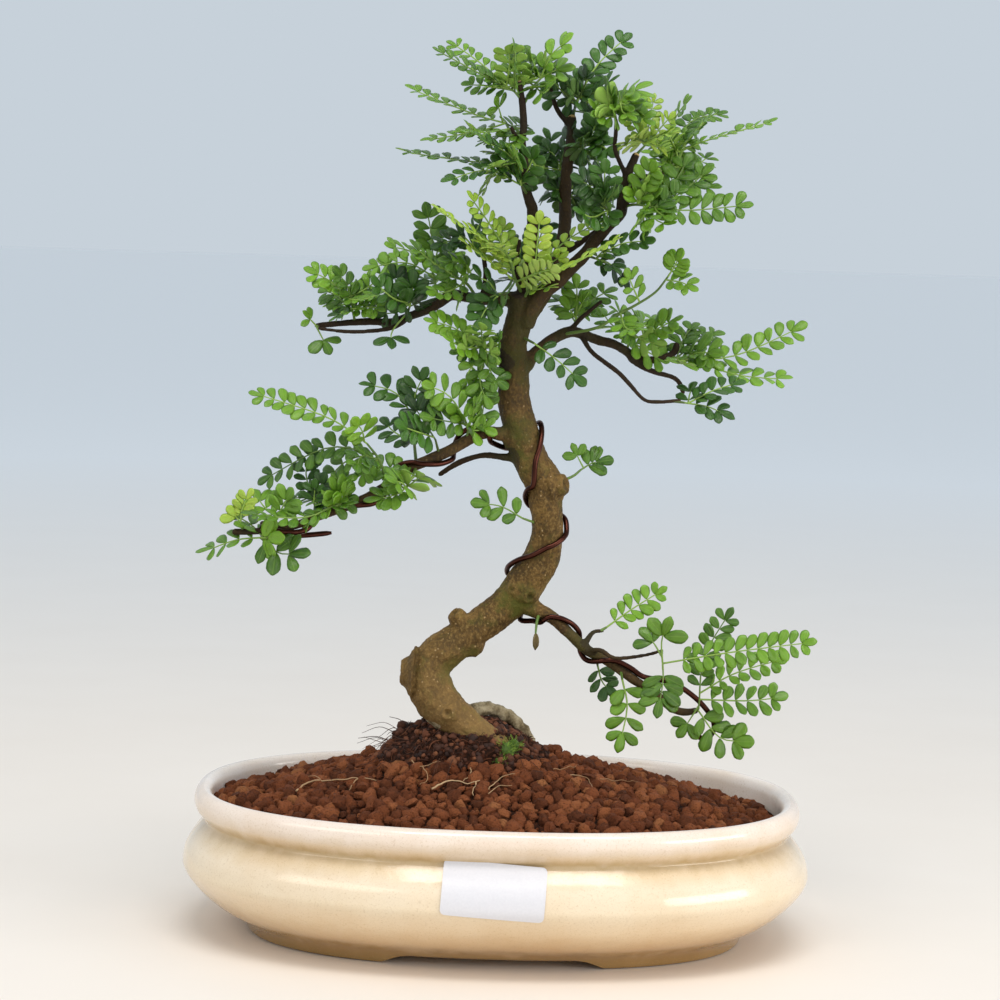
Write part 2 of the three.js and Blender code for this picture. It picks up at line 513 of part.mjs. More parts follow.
// Leaves. A spray is a green stem with its compound leaves (fronds). The stem's points are [x, z, y];
// its first point is drawn to the nearest wood. A frond is
// [share of the stem it grows at, via x, via z, tip x, tip z, depth to the tip, leaflet pairs,
//  leaflet length, facing: degrees from flat (0) to facing the front (90)].
const SPRAYS = [
  ['spray_crown_left_high', 'leaf_mid', [[2, 431, -14], [-1, 436, -16]], [
    [0.6, -16, 443, -44, 457, -10, 6, 7.5, 30], [1, -19, 450, -36, 461, 12, 5, 7, 40],
    [1, -4, 450, -5, 461, -22, 3, 9, 30],
  ]],
  ['spray_crown_left_mid', 'leaf_mid', [[4, 414, -12], [-2, 416, -10], [-5, 420, -8]], [
    [0.7, -21, 424, -57, 437, 12, 5, 8.5, 18], [0.5, -16, 415, -33, 415.5, -16, 3, 9, 14],
    [1, -9, 428, -12, 433, -12, 1, 9, 60], [0.3, -3, 411, -1, 403, -10, 2, 9, 60],
  ]],
  ['spray_crown_left_low', 'leaf_mid', [[4.7, 401, -11], [0, 402, -8]], [
    [1, -19, 400, -61, 404.5, 4, 5, 8.5, 14], [0.7, -12, 392, -15, 383, 24, 3, 8, 40],
  ]],
  ['spray_crown_left_arch', 'leaf_dark', [[8, 384, -9], [4, 389, -16]], [
    [1, -14, 396, -37, 389, -12, 5, 8.5, 25], [1, 8, 399, 12, 410, -14, 3, 10, 70],
  ]],
  ['spray_crown_top', 'leaf_mid', [[3, 430, -14], [8, 438, -8], [12, 443, -4]], [
    [1, 17, 455, 30, 466, -8, 2, 11, 35], [0.9, 5, 450, -3, 460, 14, 3, 9, 40],
    [0.5, 14, 436, 20, 442, -20, 2, 9, 60],
  ]],
  ['spray_crown_centre_high', 'leaf_dark', [[28.5, 422, 20], [30, 430, 22]], [
    [1, 40, 450, 58, 468, 8, 5, 9.5, 50], [0.8, 42, 438, 51, 447, -16, 3, 9.5, 40],
    [0.7, 20, 440, 14, 454, -8, 3, 10, 70], [0.6, 32, 436, 30, 448, 22, 3, 9, 60],
  ]],
  ['spray_crown_right_high', 'leaf_mid', [[51, 421, -20], [50, 428, -22]], [
    [1, 58, 438, 70, 434, -10, 2, 12, 30], [0.9, 60, 430, 66, 437, 12, 2, 8, 60],
    [0.6, 62, 424, 71, 429, 2, 3, 8.5, 45], [0.4, 43, 426, 37, 434, -6, 3, 9, 45],
  ]],
  ['spray_crown_right_young', 'leaf_young', [[62, 405, -8], [66, 411, -8]], [
    [1, 68, 424, 70, 438, 8, 3, 6, 80], [1, 74, 416, 84, 418, -18, 3, 8, 30],
  ]],
  ['spray_crown_arm', 'leaf_mid', [[76, 399, 8], [83, 404, 12]], [
    [1, 88, 423, 108, 429, 22, 5, 8, 25], [1, 96, 414, 133, 426, -6, 6, 7.5, 16],
    [0.2, 73, 406, 69, 417, 16, 3, 8, 50], [1, 94, 392, 106, 393, 2, 4, 9, 45],
    [0.9, 92, 402, 100, 408, 30, 3, 8, 40],
  ]],
  ['spray_crown_right_low', 'leaf_mid', [[55, 380, -8], [62, 381, -14], [72, 380, -18]], [
    [1, 90, 379, 123, 383, -12, 5, 10, 60], [0.7, 72, 388, 80, 392, 16, 2, 11, 60],
    [0.6, 74, 373, 84, 371, -18, 2, 10, 50], [0.5, 68, 396, 74, 403, -14, 3, 9.5, 60],
  ]],
  ['spray_crown_heart_right', 'leaf_dark', [[28, 408, 19], [36, 410, 12]], [
    [1, 44, 410, 52, 404, -18, 3, 10, 50], [0.9, 40, 419, 44, 427, -10, 3, 9.5, 60],
    [0.5, 42, 402, 52, 397, 24, 3, 10, 40],
  ]],
  ['spray_crown_heart_back', 'leaf_dark', [[26.5, 394, 18], [24, 397, 26]], [
    [1, 14, 405, 6, 397, 6, 3, 10, 60], [0.9, 19, 408, 14, 419, 10, 3, 10, 50],
    [0.8, 30, 404, 36, 412, 34, 4, 10, 60],
  ]],
  ['spray_crown_heart_low', 'leaf_dark', [[26.4, 382, 16], [28, 384, 24]], [
    [1, 40, 390, 50, 388, 20, 4, 10, 35], [0.8, 34, 380, 40, 372, 16, 3, 10, 50],
    [0.6, 20, 386, 12, 380, 16, 3, 10, 50],
  ]],
  ['spray_crown_heart_front', 'leaf_dark', [[51, 373, -8], [46, 380, -18]], [
    [1, 38, 390, 28, 394, -14, 4, 10, 65], [1, 46, 394, 46, 405, -12, 3, 10, 70],
    [0.6, 40, 374, 30, 379, -16, 3, 10, 55],
  ]],
  ['spray_centre_young_left', 'leaf_young', [[5, 334, 0], [2, 342, -13], [0, 350, -18]], [
    [1, -11, 368, -24, 385, -14, 5, 7.5, 40], [1, -16, 362, -43, 378, -26, 5, 7.5, 25],
    [0.7, -4, 360, -6, 373, 6, 3, 8, 40], [0.5, -14, 352, -27, 361, -26, 3, 8, 30],
  ]],
  ['spray_centre_young_right', 'leaf_young', [[7, 330, 0], [10, 338, -12], [12, 344, -17]], [
    [1, 13, 360, 14, 377, -12, 4, 8, 40], [1, 28, 362, 49, 374, 0, 5, 7.5, 22],
    [0.8, 28, 348, 57, 365, -28, 6, 7.5, 22], [0.4, 20, 346, 30, 350, -14, 2, 8, 30],
  ]],
  ['spray_right_leader_low', 'leaf_dark', [[37, 354, -7], [43, 353, -12]], [
    [1, 56, 361, 74, 363, -8, 4, 9, 40],
  ]],
  ['spray_centre_dark', 'leaf_dark', [[14, 333, 6], [10, 342, 20]], [
    [1, 4, 354, -6, 362, 20, 4, 10, 55], [1, 14, 362, 18, 374, 18, 4, 10, 55],
    [0.7, 22, 340, 32, 334, 24, 3, 9, 40],
  ]],
  ['spray_upper_left_tip', 'leaf_mid', [[-96, 315, 27], [-98, 314, 24]], [
    [1, -101, 317, -106, 322, -6, 1, 7, 50], [1, -94, 306, -91, 300, -8, 1, 10, 60],
  ]],
  ['spray_upper_left_long', 'leaf_mid', [[-80, 317, 25], [-80, 322, 22]], [
    [1, -90, 336, -106, 344, -8, 4, 9, 40], [1, -70, 337, -61, 352, 14, 4, 8, 50],
    [0.6, -70, 325, -64, 322, -14, 2, 8, 60], [0.7, -88, 326, -96, 330, 18, 2, 8, 45],
  ]],
  ['spray_upper_left_dark', 'leaf_dark', [[-52, 320, 19], [-51, 326, 12]], [
    [1, -50, 334, -50, 345, -8, 3, 11, 75], [0.4, -60, 312, -58, 303, -20, 1, 11, 70],
    [0.8, -60, 330, -72, 340, -14, 3, 9, 60],
  ]],
  ['spray_upper_left_inner', 'leaf_mid', [[-36, 328, 15], [-38, 336, 20], [-40, 344, 22]], [
    [1, -41, 362, -45, 380, -10, 4, 10, 70], [0.8, -54, 348, -76, 344, 2, 5, 9, 40],
    [0.6, -34, 344, -33, 354, 26, 3, 9, 60], [0.9, -52, 354, -66, 356, -20, 3, 9, 40],
  ]],
  ['spray_upper_left_shoot', 'leaf_mid', [[-16, 331, 9], [-22, 338, 3], [-30, 343, 0]], [
    [1, -42, 350, -53, 360, -8, 5, 9, 30], [0.6, -24, 348, -38, 350, -14, 4, 9, 45],
    [0.5, -32, 334, -44, 332, -16, 3, 9, 40],
  ]],
  ['spray_upper_left_twig', 'leaf_dark', [[-14, 352, 0], [-19, 356, -4]], [
    [1, -30, 360, -42, 355, -8, 4, 9, 45], [1, -18, 366, -14, 374, -18, 3, 9, 55],
  ]],
  ['spray_trunk_front_grey', 'leaf_dark', [[0, 331, 3], [-5, 334, -10]], [
    [1, -12, 326, -18, 313, -8, 3, 10, 70], [1, -12, 340, -22, 342, -16, 3, 9, 50],
  ]],
  ['spray_stub_left', 'leaf_mid', [[-9, 299, -2], [-11, 303, -4]], [
    [1, -27, 315, -45, 320, -8, 4, 9, 45], [0.8, -24, 306, -34, 312, -18, 3, 9, 50],
    [1, -6, 307, -5, 315, -14, 2, 9, 60], [0.2, -14, 288, -8, 275, -10, 3, 9, 65],
  ]],
  ['spray_left_low_base', 'leaf_mid', [[-20, 258, -7], [-19, 265, -10]], [
    [1, -30, 281, -46, 287, -14, 4, 10, 60], [1, -32, 268, -45, 270, -16, 3, 10, 60],
    [0.7, -12, 274, -16, 290, 2, 4, 9, 55],
  ]],
  ['spray_left_low_inner', 'leaf_dark', [[-33, 250, -11], [-36, 258, -16]], [
    [1, -44, 270, -52, 281, -2, 4, 11, 75], [1, -46, 262, -58, 266, -24, 3, 11, 65],
  ]],
  ['spray_left_low_high', 'leaf_dark', [[-44, 245, -13], [-47, 258, 0], [-48, 270, 4]], [
    [1, -58, 282, -77, 286, 4, 3, 10, 50], [1, -46, 284, -40, 296, -8, 4, 10, 60],
    [0.5, -58, 262, -64, 270, 18, 3, 10, 60],
  ]],
  ['spray_left_low_long', 'leaf_mid', [[-60, 234, -16], [-64, 246, -22], [-71, 255, -24]], [
    [1, -92, 268, -133, 280, -4, 6, 9, 40], [0.7, -92, 252, -127, 233, 8, 6, 9.5, 50],
    [1, -74, 262, -80, 269, -18, 2, 10, 70], [0.5, -74, 248, -76, 238, -20, 3, 9, 75],
  ]],
  ['spray_left_low_under', 'leaf_mid', [[-45, 245, -13], [-47, 239, -20]], [
    [1, -54, 230, -72, 225, -8, 4, 11, 30], [1, -52, 235, -62, 238, -24, 3, 11, 60],
    [0.8, -60, 243, -72, 244, 9, 4, 10, 50], [0.8, -44, 240, -36, 234, 34, 4, 10, 45],
  ]],
  ['spray_left_low_mid', 'leaf_mid', [[-79, 223, -20], [-82, 226, -27]], [
    [1, -102, 216, -135, 217, -14, 6, 9, 20], [1, -88, 232, -94, 231, -8, 2, 11, 70],
    [1, -100, 226, -112, 226, 30, 4, 9, 40], [1, -84, 234, -82, 242, 14, 3, 9, 55],
  ]],
  ['spray_left_low_upright', 'leaf_dark', [[-96, 216, -22], [-97, 222, -22]], [
    [1, -102, 240, -97, 254, 14, 3, 7.5, 45], [1, -94, 232, -91, 240, -6, 2, 8, 50],
  ]],
  ['spray_left_low_outer', 'leaf_mid', [[-118, 210, -24], [-117, 214, -28]], [
    [1, -112, 224, -107, 232, -6, 3, 10, 70], [0.9, -124, 222, -128, 230, 14, 3, 9, 60],
  ]],
  ['spray_left_low_tip', 'leaf_mid', [[-123, 209, -24], [-123, 205, -26]], [
    [1, -138, 203, -157, 195, 2, 4, 10, 30], [1, -114, 197, -99, 199, -10, 2, 12, 70],
  ]],
  ['spray_left_low_end', 'leaf_young', [[-134, 208, -24], [-135, 211, -25]], [
    [1, -134, 220, -129, 230, -3, 3, 7, 45], [1, -138, 216, -141, 222, 0, 1, 8, 60],
  ]],
  ['spray_trunk_right_high', 'leaf_dark', [[9, 312, 2], [13, 309, -8]], [
    [1, 26, 300, 40, 288, -8, 3, 10, 50],
  ]],
  ['spray_trunk_right', 'leaf_mid', [[28, 237, -1], [34, 241, 2], [39, 245, 4]], [
    [1, 46, 249, 56, 249, 3, 3, 10, 60], [1, 37, 252, 34, 259, 0, 1, 8, 60],
  ]],
  ['spray_trunk_left', 'leaf_mid', [[16, 215, -4], [10, 219, -10]], [
    [1, -2, 225, -17, 226, -3, 3, 10, 65],
  ]],
  ['leaf_dry_hanging', 'leaf_dry', [[20, 171, -3], [19, 166, -9], [18.5, 160, -11]], [
    [1, 18.6, 156, 19, 151, 0, 0, 9.5, 80],
  ]],
  ['spray_right_mid_long', 'leaf_mid', [[83, 305, 24], [88, 303, 22]], [
    [1, 116, 306, 152, 323, 8, 7, 10, 45], [1, 118, 296, 147, 294.5, -6, 5, 10, 30],
    [0.5, 98, 314, 110, 317, 18, 3, 9, 45], [0.8, 98, 307, 112, 305, -16, 2, 12, 65],
  ]],
  ['spray_right_mid_low', 'leaf_dark', [[85, 281.5, -4], [91, 281, -5]], [
    [1, 104, 279, 116, 273, -4, 3, 10, 40], [1, 106, 288, 122, 293, 6, 4, 9, 35],
  ]],
  ['spray_right_mid_inner', 'leaf_mid', [[60, 306.5, 20], [62, 312, 20]], [
    [1, 73, 317, 89, 326, -12, 4, 10, 45], [1, 60, 316, 55, 323, -14, 3, 9, 55],
    [1, 68, 322, 78, 324, 26, 4, 10, 40], [0.8, 52, 320, 46, 328, 26, 4, 9, 50],
  ]],
  ['spray_right_shoot', 'leaf_mid', [
    [27, 314, 12], [45, 318, 0], [55, 325, -4], [64, 330, -6], [74, 337, -8], [80, 345, -8],
  ], [
    [1, 84, 352, 87, 360, -3, 4, 8, 50], [0.96, 88, 342, 96, 337, -10, 2, 9, 40],
    [0.7, 62, 340, 58, 349, -10, 3, 8, 55], [0.5, 60, 318, 70, 318, -22, 3, 9, 40],
  ]],
  ['spray_right_mid_base', 'leaf_mid', [[32, 316, 14], [34, 322, 20]], [
    [1, 34, 334, 33, 346, 4, 3, 9, 60], [1, 42, 332, 54, 339, 14, 3, 9, 45],
    [0.7, 28, 328, 22, 334, 28, 3, 9, 50],
  ]],
  ['spray_right_low_twig', 'leaf_mid', [[52, 162, 2], [55, 164, 2]], [
    [1, 68, 174, 86, 186, 4, 4, 8.5, 65],
  ]],
  ['spray_right_low_node', 'leaf_mid', [[83, 152.5, -26], [84, 151, -31]], [
    [1, 85, 136, 82, 116, -6, 4, 12, 85], [0.9, 120, 153, 165, 160, -28, 6, 9.5, 60],
    [0.9, 84, 160, 92, 167, -10, 1, 12, 70], [0.8, 78, 158, 70, 160, 8, 1, 11, 70],
  ]],
  ['spray_right_low_hanging', 'leaf_mid', [[63, 142, -11], [64, 137, -18]], [
    [1, 67, 122, 63, 99, -4, 4, 11, 85],
  ]],
  ['spray_right_low_inner', 'leaf_dark', [[50, 150, -9], [51, 144, -3]], [
    [1, 54, 135, 62, 128, 2, 2, 9, 60],
  ]],
  ['spray_right_low_tip', 'leaf_mid', [[101, 122, -16], [104, 123, -21]], [
    [1, 106, 150, 120, 177, -4, 6, 9, 60], [1, 122, 142, 149, 151, -14, 5, 9, 45],
    [0.8, 130, 128, 150, 131, 6, 4, 9.5, 60], [0.6, 116, 108, 134, 107, 2, 2, 12, 75],
    [0.6, 97, 113, 92, 109, 4, 1, 10, 70],
  ]],
];

// Leaflet outlines, as shares of the leaflet's length and width: along it and across it.
const SIDE_LEAFLET = [[0.86, -0.5], [0.92, 0.4]];
const END_LEAFLET = [[0.62, -0.5], [1, 0], [0.62, 0.5]];
const FORK = 1.5; // length of stem that a side frond grows from
const FORK_PITCH = 3.2;
const JOINT_CLEAR = 0.9; // kept between a fork and a bend of the stem
const SHORT_FROND = 34; // longest frond with one pair of leaflets here
const MIDDLE_FROND = 80; // longest with two pairs
const FIRST_PAIR = 0.42; // farthest place of a frond's first pair, as a share of the frond

function nearestWood(x, z) {
  let best = { distance: Infinity };
  for (const limb of limbs) {
    const last = limb.path.length - 1;
    for (let part = 0; part <= 4 * last; part += 1) {
      const place = limb.curve.getPoint(part / (4 * last));
      const onPlane = place.clone().sub(EYE).multiplyScalar(-EYE.y / (place.y - EYE.y)).add(EYE);
      const distance = Math.hypot(onPlane.x - SIGHT_SHIFT - x, onPlane.z + GROUND - z);
      if (distance < best.distance) best = { distance, place, radius: stationOf(limb, part / 4).radius };
    }
  }
  return best;
}

// Foliage is made as a sheet of triangles whose points also keep the way the blade faces there.

function addPoint(sheet, place, normal) {
  sheet.normals.push(normal);
  return sheet.points.push(place) - 1;
}

function addRib(sheet, centre, tangent, side) {
  const normal = new THREE.Vector3().crossVectors(tangent, side);
  const right = addPoint(sheet, centre.clone().addScaledVector(side, -RIB_HALF), normal);
  const left = addPoint(sheet, centre.clone().addScaledVector(side, RIB_HALF), normal);
  return { right, left, centre, side, tangent };
}

// The part of a direction that lies square to the tangent.
function squareTo(tangent, direction) {
  return direction.clone().addScaledVector(tangent, -direction.dot(tangent)).normalize();
}

function frondRib(sheet, curve, normal, at) {
  const tangent = curve.getTangentAt(at);
  const facing = squareTo(tangent, normal);
  return addRib(sheet, curve.getPointAt(at), tangent, facing.cross(tangent));
}

function addStrip(sheet, from, to) {
  sheet.faces.push([from.right, to.right, to.left], [from.right, to.left, from.left]);
  return to;
}

function addLeaflet(sheet, shape, from, to, origin, along, normal, long, wide) {
  const across = new THREE.Vector3().crossVectors(normal, along);
  const outline = shape.map(([far, over]) => {
    const place = origin.clone().addScaledVector(along, far * long).addScaledVector(across, over * wide);
    return addPoint(sheet, place.addScaledVector(normal, LEAFLET_RISE * far * long), normal);
  });
  const loop = [from, ...outline, to];
  for (let corner = 1; corner + 1 < loop.length; corner += 1) {
    sheet.faces.push([from, loop[corner], loop[corner + 1]]);
  }
}

// Gives the sheet its thickness: the same triangles on both faces, and a wall round them.
function thickened({ points, normals, faces }) {
  const front = points.map((point, index) => point.clone().addScaledVector(normals[index], BLADE_HALF));
  const back = points.map((point, index) => point.clone().addScaledVector(normals[index], -BLADE_HALF));
  const count = points.length;
  const edges = new Set(faces.flatMap(([a, b, c]) => [`${a} ${b}`, `${b} ${c}`, `${c} ${a}`]));
  const triangles = faces.flatMap(([a, b, c]) => [a, b, c, c + count, b + count, a + count]);
  for (const edge of edges) {
    const [a, b] = edge.split(' ').map(Number);
    if (!edges.has(`${b} ${a}`)) triangles.push(a, a + count, b + count, a, b + count, b);
  }
  return new THREE.BufferGeometry().setFromPoints([...front, ...back]).setIndex(triangles);
}

// Where a frond runs from its root, and how its blade faces.
function frondLayout(root, frond) {
  const [, viaX, viaZ, tipX, tipZ, depth, pairs, leafLength, facing] = frond;
  const via = seen(viaX, viaZ, root.y + 0.5 * depth);
  const tip = seen(tipX, tipZ, root.y + depth);
  const curve = smoothPath([root, via, tip]);
  const toTip = tip.clone().sub(root).normalize();
  const face = THREE.MathUtils.degToRad(facing);
  const normal = new THREE.Vector3(0, -Math.sin(face), Math.cos(face));
  normal.addScaledVector(toTip, -normal.dot(toTip)).normalize();
  const length = curve.getLength();
  return { curve, length, normal, count: Math.min(pairs, pairsFor(length)), leafLength };
}

// Pairs of leaflets that a frond has here. The real ones have up to seven.
function pairsFor(length) {
  if (length < SHORT_FROND) return 1;
  return length < MIDDLE_FROND ? 2 : 3;
}

function addFrond(sheet, start, layout, used = 0) {
  const { curve, length, count, leafLength } = layout;
  const turned = layout.normal.dot(sheet.normals[start.left]) < 0 ? -1 : 1;
  const normal = layout.normal.clone().multiplyScalar(turned);
  const endPair = 1 - (END_SHARE * leafLength) / length;
  const middlePair = Math.max(Math.min(FIRST_PAIR, endPair / 2), used / length);
  const firstPair = count === 1 ? endPair : middlePair;
  const pitch = count === 1 ? 0 : (endPair - firstPair) / (count - 1);
  const half = LEAFLET_BASE / 2 / length;
  const spread = THREE.MathUtils.degToRad(LEAFLET_ANGLE);
  const wide = LEAFLET_WIDTH * leafLength;
  const endWide = 0.8 * wide;
  let last = start;
  for (let pair = 0; pair < count; pair += 1) {
    const at = firstPair + pair * pitch;
    const before = addStrip(sheet, last, frondRib(sheet, curve, normal, at - half));
    last = addStrip(sheet, before, frondRib(sheet, curve, normal, at + half));
    const middle = before.centre.clone().add(last.centre).multiplyScalar(0.5);
    for (const hand of [-1, 1]) {
      const along = last.tangent.clone().multiplyScalar(Math.cos(spread));
      along.addScaledVector(last.side, hand * Math.sin(spread));
      const ends = hand < 0 ? [before.right, last.right] : [last.left, before.left];
      addLeaflet(sheet, SIDE_LEAFLET, ...ends, middle, along, normal, leafLength, wide);
    }
  }
  const { right, left, centre, tangent } = last;
  addLeaflet(sheet, END_LEAFLET, right, left, centre, tangent, normal, END_SHARE * leafLength, endWide);
}

function alongPath(path, distance) {
  let left = distance;
  for (let joint = 0; joint + 1 < path.length; joint += 1) {
    const step = path[joint].distanceTo(path[joint + 1]);
    const isLast = joint + 2 === path.length;
    if (left <= step || isLast) return path[joint].clone().lerp(path[joint + 1], left / step);
    left -= step;
  }
  return path.at(-1);
}

// Where the stem has its ribs: at its own joints, and two for each frond that leaves it.
function stopsAlong(carrier, footRadius, main, fronds) {
  const joints = [0];
  for (let joint = 1; joint < carrier.length - 1; joint += 1) {
    joints.push(joints[joint - 1] + carrier[joint - 1].distanceTo(carrier[joint]));
  }
  const stops = joints.map((at) => ({ at }));
  let free = footRadius + FORK;
  for (const frond of [...fronds].sort((a, b) => a[0] - b[0])) {
    let at = Math.max(frond[0] * joints.at(-1), free);
    const inTheWay = joints.find((joint) => joint > at - JOINT_CLEAR && joint < at + FORK + JOINT_CLEAR);
    if (inTheWay !== undefined) at = inTheWay + JOINT_CLEAR;
    free = at + FORK_PITCH;
    const root = alongPath(carrier, at + FORK / 2);
    const outward = frondLayout(root, frond).curve.getPointAt(0.4).sub(root);
    stops.push({ at, outward }, { at: at + FORK, outward, root, frond });
  }
  stops.sort((a, b) => a.at - b.at);
  // Each rib is turned towards the frond that leaves there, and as little as can be from the next rib.
  let side = new THREE.Vector3().crossVectors(main.normal, main.curve.getTangentAt(0));
  const nearby = 0.2;
  for (const stop of [...stops].reverse()) {
    const ahead = alongPath(carrier, stop.at + nearby);
    stop.tangent = ahead.sub(alongPath(carrier, Math.max(0, stop.at - nearby))).normalize();
    stop.side = squareTo(stop.tangent, stop.outward ?? side);
    if (stop.side.dot(side) < 0) stop.side.negate();
    side = stop.side;
  }
  return { stops, used: stops.at(-1).at - joints.at(-1) + FORK };
}

// A spray: the stem's strip carries on into its first frond, and each other frond grows from a
// short stretch of one edge of that strip.
function spraySolid([, , stemPlaces, fronds], wood) {
  const foot = nearestWood(...stemPlaces[0]);
  const stem = [foot.place, ...stemPlaces.slice(1).map((place) => seen(...place))];
  const main = frondLayout(stem.at(-1), fronds[0]);
  const carrier = [...stem, main.curve.getPointAt(0.3)];
  const { stops, used } = stopsAlong(carrier, foot.radius, main, fronds.slice(1));
  const sheet = { points: [], normals: [], faces: [] };
  let last;
  for (const { at, tangent, side, outward, root, frond } of stops) {
    const rib = addRib(sheet, alongPath(carrier, at), tangent, side);
    if (last) addStrip(sheet, last, rib);
    if (frond) {
      const toLeft = outward.dot(side) > 0;
      const wall = toLeft ? { left: last.left, right: rib.left } : { left: rib.right, right: last.right };
      addFrond(sheet, wall, frondLayout(root, frond));
    }
    last = rib;
  }
  addFrond(sheet, last, main, used);
  return largestPiece(solidOf(thickened(sheet)).subtract(wood));
}

buildPot();
buildLabel();
buildScreens();
buildSoil();
add('trunk', geometryOf(woodSolid(0)), 'bark');
add('training_wire', geometryOf(wireSolid(WIRE_RADIUS)), 'wire');
const clearOfWood = woodSolid(SEAT_GAP).add(wireSolid(WIRE_RADIUS + SEAT_GAP));
for (const spray of SPRAYS) add(spray[0], geometryOf(spraySolid(spray, clearOfWood)), spray[1]);

export default bonsai;
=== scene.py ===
import math
import random

import bpy
import numpy as np
from mathutils import Matrix, Vector, kdtree, noise
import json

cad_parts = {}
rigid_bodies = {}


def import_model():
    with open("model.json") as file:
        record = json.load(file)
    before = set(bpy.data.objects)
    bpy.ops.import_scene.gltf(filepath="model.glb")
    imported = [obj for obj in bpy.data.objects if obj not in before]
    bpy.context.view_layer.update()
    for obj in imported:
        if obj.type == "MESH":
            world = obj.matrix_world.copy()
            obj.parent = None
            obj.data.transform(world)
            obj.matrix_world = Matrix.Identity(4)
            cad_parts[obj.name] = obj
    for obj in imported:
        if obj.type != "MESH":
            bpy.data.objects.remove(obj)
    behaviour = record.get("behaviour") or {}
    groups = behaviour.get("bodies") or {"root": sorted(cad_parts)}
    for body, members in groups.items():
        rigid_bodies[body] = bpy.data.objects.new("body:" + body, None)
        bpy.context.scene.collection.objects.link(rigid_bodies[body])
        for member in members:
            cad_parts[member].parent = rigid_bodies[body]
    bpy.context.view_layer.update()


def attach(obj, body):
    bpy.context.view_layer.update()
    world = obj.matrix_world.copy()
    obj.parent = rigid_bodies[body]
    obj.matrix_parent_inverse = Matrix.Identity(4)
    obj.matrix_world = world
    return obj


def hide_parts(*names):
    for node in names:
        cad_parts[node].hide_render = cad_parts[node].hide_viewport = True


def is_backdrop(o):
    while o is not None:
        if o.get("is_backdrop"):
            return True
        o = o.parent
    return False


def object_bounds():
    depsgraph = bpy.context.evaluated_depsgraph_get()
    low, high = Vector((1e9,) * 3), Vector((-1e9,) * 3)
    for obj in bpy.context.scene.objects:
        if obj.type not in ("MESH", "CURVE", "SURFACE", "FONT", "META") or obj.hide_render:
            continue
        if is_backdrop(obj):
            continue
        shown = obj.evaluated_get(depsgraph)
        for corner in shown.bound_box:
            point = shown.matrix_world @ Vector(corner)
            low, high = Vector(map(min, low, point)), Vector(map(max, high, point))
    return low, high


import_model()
MM = 0.001

# Camera: 1.4 m in front of the pot and a little above the tree's middle, looking 5 degrees down,
# and leaning 1.8 degrees to one side.
EYE = Vector((-3.3, -1400, 353.6))
LOOK_DOWN, LEAN = math.radians(5.3), math.radians(1.77)
LENS, SENSOR = 98.57, 36


def in_scene(name, data):
    """A new object in the scene."""
    made = bpy.data.objects.new(name, data)
    bpy.context.scene.collection.objects.link(made)
    return made


camera = in_scene("camera", bpy.data.cameras.new("camera"))
camera.data.lens, camera.data.sensor_width = LENS, SENSOR
level, upright = Vector((1, 0, 0)), Vector((0, math.sin(LOOK_DOWN), math.cos(LOOK_DOWN)))
camera_right = level * math.cos(LEAN) + upright * math.sin(LEAN)
camera_up = upright * math.cos(LEAN) - level * math.sin(LEAN)
aim = Matrix((camera_right, camera_up, camera_right.cross(camera_up))).transposed()
camera.matrix_world = Matrix.Translation(EYE * MM) @ aim.to_4x4()
bpy.context.scene.camera = camera

# Pot: slab-thick stoneware, pressed in a mould, with a rolled lip, a pinched neck and a full belly
# on a foot ring. A cream glaze was poured over it inside and out, and pooled in the neck.
BELLY = 161.35
OVAL = 46
SQUARENESS = 2.35
POT_AROUND = 192
POT_STEPS = 3  # rows of the skin from each point of the profile to the next
POT_PROFILE = [
    [116.4, 0.7], [117.8, 0], [125.4, 0], [127.4, 0.6], [128.4, 3], [130.6, 6], [134.6, 9], [141.6, 13],
    [148.2, 18], [154.2, 23.8], [158.8, 29.6], [161, 33.8], [BELLY, 37.4], [160, 43.2], [157, 48.2],
    [153.4, 52.6], [150.7, 55.8], [150.5, 57.5], [152.6, 60], [155, 63.1], [156, 66.6], [155.6, 69.9],
    [153.9, 72.5], [151.3, 73.55], [148.7, 72.7], [147.1, 70.2], [146.4, 65.6], [146.2, 55.6], [149, 45.6],
    [150, 37.6], [147, 29], [141.2, 20.6], [134, 14], [126, 11],
]
LIP_TOP = 23  # the place of the lip's top in the profile
FOOT_INSIDE, FLOOR_INSIDE = 115, 126
UNDER_SHARES = (0.15, 0.5, 0.85, 0.985)  # rings of the floor, the last in the corner of the foot
CORNER_DROP = 0.6
POT_FLOOR_TOP = 11
POT_FLOOR_BOTTOM = 5
DRAIN_RADIUS = 9
DRAIN_X = 62
DRAIN_AROUND = 32
DRAIN_CUT = (-3, 20)  # from below the floor to above it
ARCH = [[58, -1], [54, 0.8], [50, 2.6], [46, 4.3], [41, 5]]  # its right half, from the foot up
ARCH_CUT = (-130, 130)  # right through the foot ring, front and back
POT_CREASE = math.radians(50)


def linear(colour):
    """An sRGB hex colour as the linear one that a shader takes."""
    channels = [int(colour[place:place + 2], 16) / 255 for place in (1, 3, 5)]
    return [c / 12.92 if c <= 0.04045 else ((c + 0.055) / 1.055) ** 2.4 for c in channels] + [1]


def feed(made, links):
    """Gives each named input of a node a value, a hex colour, an output, or a list of outputs."""
    for name, value in dict(links).items():
        for one in value if isinstance(value, list) else [value]:
            if isinstance(one, bpy.types.NodeSocket):
                made.id_data.links.new(one, made.inputs[name])
            else:
                is_colour = isinstance(one, str) and one.startswith("#")
                made.inputs[name].default_value = linear(one) if is_colour else one


